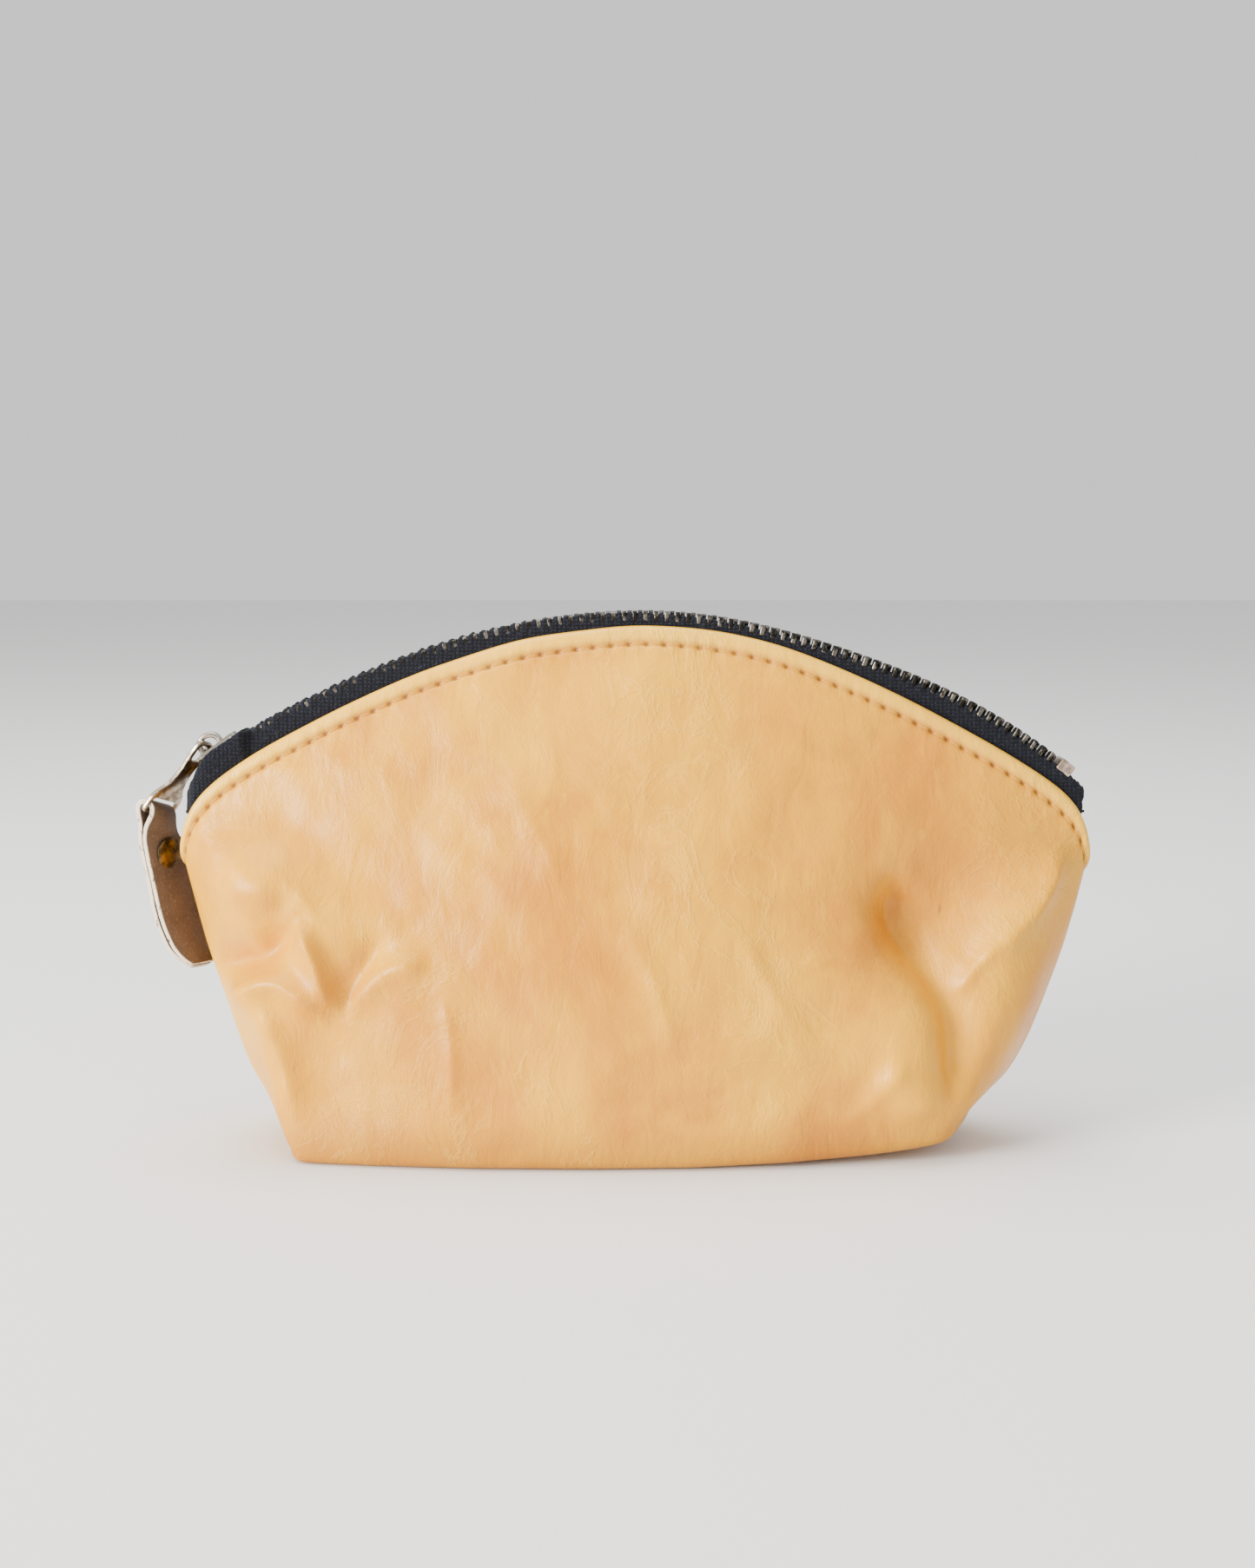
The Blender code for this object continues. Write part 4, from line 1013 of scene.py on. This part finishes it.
OUTER = [(1.5, 2.3), (1.7, 3.4), (1.2, 4.8), (0.2, 5.7), (-1.2, 6.1), (-2.7, 5.9), (-3.9, 5.2), (-4.5, 4.0),
         (-4.4, 2.3)]
INNER = [(0.3, 2.3), (0.4, 3.2), (0.1, 4.1), (-0.5, 4.6), (-1.3, 4.9), (-2.3, 4.8), (-3.1, 4.4), (-3.4, 3.6),
         (-3.3, 2.3)]
outer = smooth_line(OUTER, 33, 1.2)
inner = smooth_line(INNER, 33, 1.2)
points = []
for (uo, ro), (ui, ri) in zip(outer, inner):
    mid = ((uo + ui) / 2, (ro + ri) / 2)
    for u, r, y in ((uo, ro, 0.0), (uo, ro, 0.62), (mid[0] * 0.4 + uo * 0.6, mid[1] * 0.4 + ro * 0.6, 0.95),
                    (mid[0] * 0.5 + ui * 0.5, mid[1] * 0.5 + ri * 0.5, 0.95), (ui, ri, 0.6), (ui, ri, 0.0),
                    (ui, ri, -0.6), (mid[0] * 0.5 + ui * 0.5, mid[1] * 0.5 + ri * 0.5, -0.95),
                    (mid[0] * 0.4 + uo * 0.6, mid[1] * 0.4 + ro * 0.6, -0.95), (uo, ro, -0.62)):
        points.append(slider_place(u, y, r))
faces = []
for k in range(len(outer) - 1):
    for m in range(10):
        a = 10 * k + m
        b = 10 * k + (m + 1) % 10
        faces.append([a, b, b + 10, a + 10])
faces.append(list(range(10)))
faces.append(list(range(10 * len(outer) - 10, 10 * len(outer)))[::-1])
bridge = add_mesh("slider_crown", points, faces, NICKEL, "slider")
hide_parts("slider_bridge")

STRAP_MIDDLE = [(-109.0, 76.3), (-108.9, 72.0), (-108.2, 68.0), (-107.2, 63.5), (-106.2, 58.0),
                (-105.2, 52.5), (-103.6, 47.5), (-101.6, 43.5), (-99.6, 40.6)]
strap_middle = smooth_line(STRAP_MIDDLE, 60, 3.0)


def strap_turned(points):
    """The strap turns about its own length below the loop and hangs a little behind the seam."""
    points = np.asarray(points, float)
    z = points[..., 2]
    centre = np.interp(-z, -strap_middle[:, 1], strap_middle[:, 0])
    angle = np.radians(-23.0 + (STRAP_TURN + 23.0) * smooth((76.6 - z) / 8.0))
    back = STRAP_BACK * smooth((76.0 - z) / 8.5)
    x = points[..., 0] - centre
    y = points[..., 1]
    return np.stack([centre + x * np.cos(angle) - y * np.sin(angle),
                     x * np.sin(angle) + y * np.cos(angle) + back,
                     z - 0.29 * y * smooth((z - 64.0) / 9.0)], -1)


way = np.gradient(strap_middle, axis=0)
way /= np.linalg.norm(way, axis=1, keepdims=True)
normal = np.stack([-way[:, 1], way[:, 0]], -1)
spread = STRAP_LOOP + (0.76 - STRAP_LOOP) * smooth(np.linspace(0.0, 1.0, 60) / 0.14)
open_low = 0.34 * smooth((np.linspace(0.0, 1.0, 60) - 0.40) / 0.3)
outside = strap_middle - normal * (spread + open_low)[:, None]
inside = strap_middle + normal * spread[:, None]
over = [(TAB_END[0] - STRAP_LOOP * math.cos(math.pi * k / 14.0),
         TAB_END[2] + STRAP_LOOP * math.sin(math.pi * k / 14.0)) for k in range(1, 14)]
if outside[0, 0] > inside[0, 0]:
    outside, inside = inside, outside
path = np.concatenate([outside[::-1], np.array(over), inside])
way = np.gradient(path, axis=0)
way /= np.linalg.norm(way, axis=1, keepdims=True)
normal = np.stack([-way[:, 1], way[:, 0]], -1)
draw = np.random.default_rng(5)
chip = blur(draw.normal(0.0, 1.0, (len(path), 2)), 1.1)
points = []
raw = []
for k, (px, pz) in enumerate(path):
    neck = float(smooth((TAB_END[2] - 0.5 - pz) / 8.0))
    half = 4.25 + 1.65 * neck
    tip = float(np.clip((pz - 39.6) / 6.5, 0.0, 1.0))
    half *= 0.10 + 0.90 * math.sqrt(tip * (2.0 - tip))
    thick = 0.68
    section = [(-half + 0.18, -thick), (half - 0.18, -thick), (half, -thick + 0.16), (half + 0.05, 0.0),
               (half, thick - 0.16), (half - 0.18, thick), (0.0, thick), (-half + 0.18, thick),
               (-half, thick - 0.16), (-half - 0.05, 0.0), (-half, -thick + 0.16)]
    for across, high in section:
        side_edge = abs(across) > half - 0.1
        rough = 0.10 * chip[k, 0 if across > 0 else 1] if side_edge else 0.0
        q = (px + normal[k, 0] * high, across + math.copysign(rough, across), pz + normal[k, 1] * high)
        points.append(q)
        raw.append(1.0 if side_edge else 0.0)
count = 11
faces = []
for k in range(len(path) - 1):
    for m in range(count):
        a = count * k + m
        b = count * k + (m + 1) % count
        faces.append([a, b, b + count, a + count])
faces.append(list(range(count)))
faces.append(list(range(count * (len(path) - 1), count * len(path)))[::-1])
strap = add_mesh("pull_strap_leather", strap_turned(points), faces, STRAP)
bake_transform(strap)
attribute(strap, "raw", raw)
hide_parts("pull_strap")

RIVET_Z = 66.3
rivet_x = float(np.interp(-RIVET_Z, -strap_middle[:, 1], strap_middle[:, 0]))


def lathe(name, profile, mat, sides=32):
    """A turned piece on the rivet's axis from pairs of (depth, radius)."""
    points = []
    for depth, radius in profile:
        for m in range(sides):
            turn = 2.0 * math.pi * m / sides
            points.append((rivet_x + depth, radius * math.cos(turn), RIVET_Z + radius * math.sin(turn)))
    points = np.array(points)
    angle = math.radians(STRAP_TURN)
    x = points[:, 0] - rivet_x
    y = points[:, 1]
    lean = 0.16 * x
    points = np.stack([rivet_x + x * math.cos(angle) - y * math.sin(angle),
                       x * math.sin(angle) + y * math.cos(angle) + STRAP_BACK, points[:, 2] + lean], -1)
    faces = []
    for k in range(len(profile) - 1):
        for m in range(sides):
            a = k * sides + m
            b = k * sides + (m + 1) % sides
            faces.append([a, b, b + sides, a + sides])
    faces.append(list(range(sides)))
    faces.append([(len(profile) - 1) * sides + m for m in reversed(range(sides))])
    return add_mesh(name, points, faces, mat, "strap")


cap = lathe("rivet_dome", [(1.50, 1.6), (1.44, 3.3), (1.56, 3.62), (1.74, 3.66), (1.92, 3.5), (2.10, 3.0),
                           (2.30, 2.2), (2.42, 1.2), (2.46, 0.3)], BRASS)
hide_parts("rivet_cap")
post = lathe("rivet_back", [(1.44, 1.1), (-1.46, 1.1), (-1.46, 2.7), (-1.65, 2.85), (-1.90, 2.7), (-2.1, 1.9),
                            (-1.96, 0.9), (-1.94, 0.2)], BRASS)
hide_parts("rivet_post")

# ---------------------------------------------------------------- CAD nodes that stay

for name, mat in (
        ("bottom_stop", STOP), ("top_stop_front", STOP), ("top_stop_back", STOP),
        ("side_seam_thread_left", THREAD), ("side_seam_thread_right", THREAD), ("base_seam_thread", THREAD)):
    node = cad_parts[name]
    node.data.materials.clear()
    node.data.materials.append(mat)

# ---------------------------------------------------------------- floor and light

floor_mat = Nodes("floor")
floor_mat.set(Base_Color=(0.80, 0.79, 0.78), Roughness=0.75)
floor_mesh = bpy.data.meshes.new("floor")
floor_mesh.from_pydata([(-3, -2, 0), (3, -2, 0), (3, 3, 0), (-3, 3, 0)], [], [(0, 1, 2, 3)])
floor = bpy.data.objects.new("floor", floor_mesh)
floor_mesh.materials.append(floor_mat.mat)
bpy.context.scene.collection.objects.link(floor)


def area_light(name, place, target, size, power, colour=(1.0, 1.0, 1.0)):
    """A soft rectangular light aimed at a point."""
    data = bpy.data.lights.new(name, "AREA")
    data.shape = "RECTANGLE"
    data.size = size[0]
    data.size_y = size[1]
    data.energy = power
    data.color = colour
    lamp = bpy.data.objects.new(name, data)
    lamp.location = place
    aim = Vector(target) - Vector(place)
    lamp.rotation_euler = aim.to_track_quat("-Z", "Y").to_euler()
    bpy.context.scene.collection.objects.link(lamp)


area_light("window", (-1.45, -1.00, 0.46), (0.0, 0.0, 0.06), (0.75, 0.8), 92.0, (1.0, 0.97, 0.90))
area_light("fill", (0.9, -0.7, 0.45), (0.0, 0.0, 0.05), (0.9, 0.7), 1.5, (1.0, 0.97, 0.94))
area_light("top", (-0.15, 0.05, 1.0), (0.0, 0.0, 0.05), (1.0, 0.8), 16.0)
world = bpy.data.worlds.new("soft")
world.use_nodes = True
world.node_tree.nodes["Background"].inputs["Color"].default_value = (0.95, 0.95, 0.96, 1.0)
world.node_tree.nodes["Background"].inputs["Strength"].default_value = 1.0
bpy.context.scene.world = world
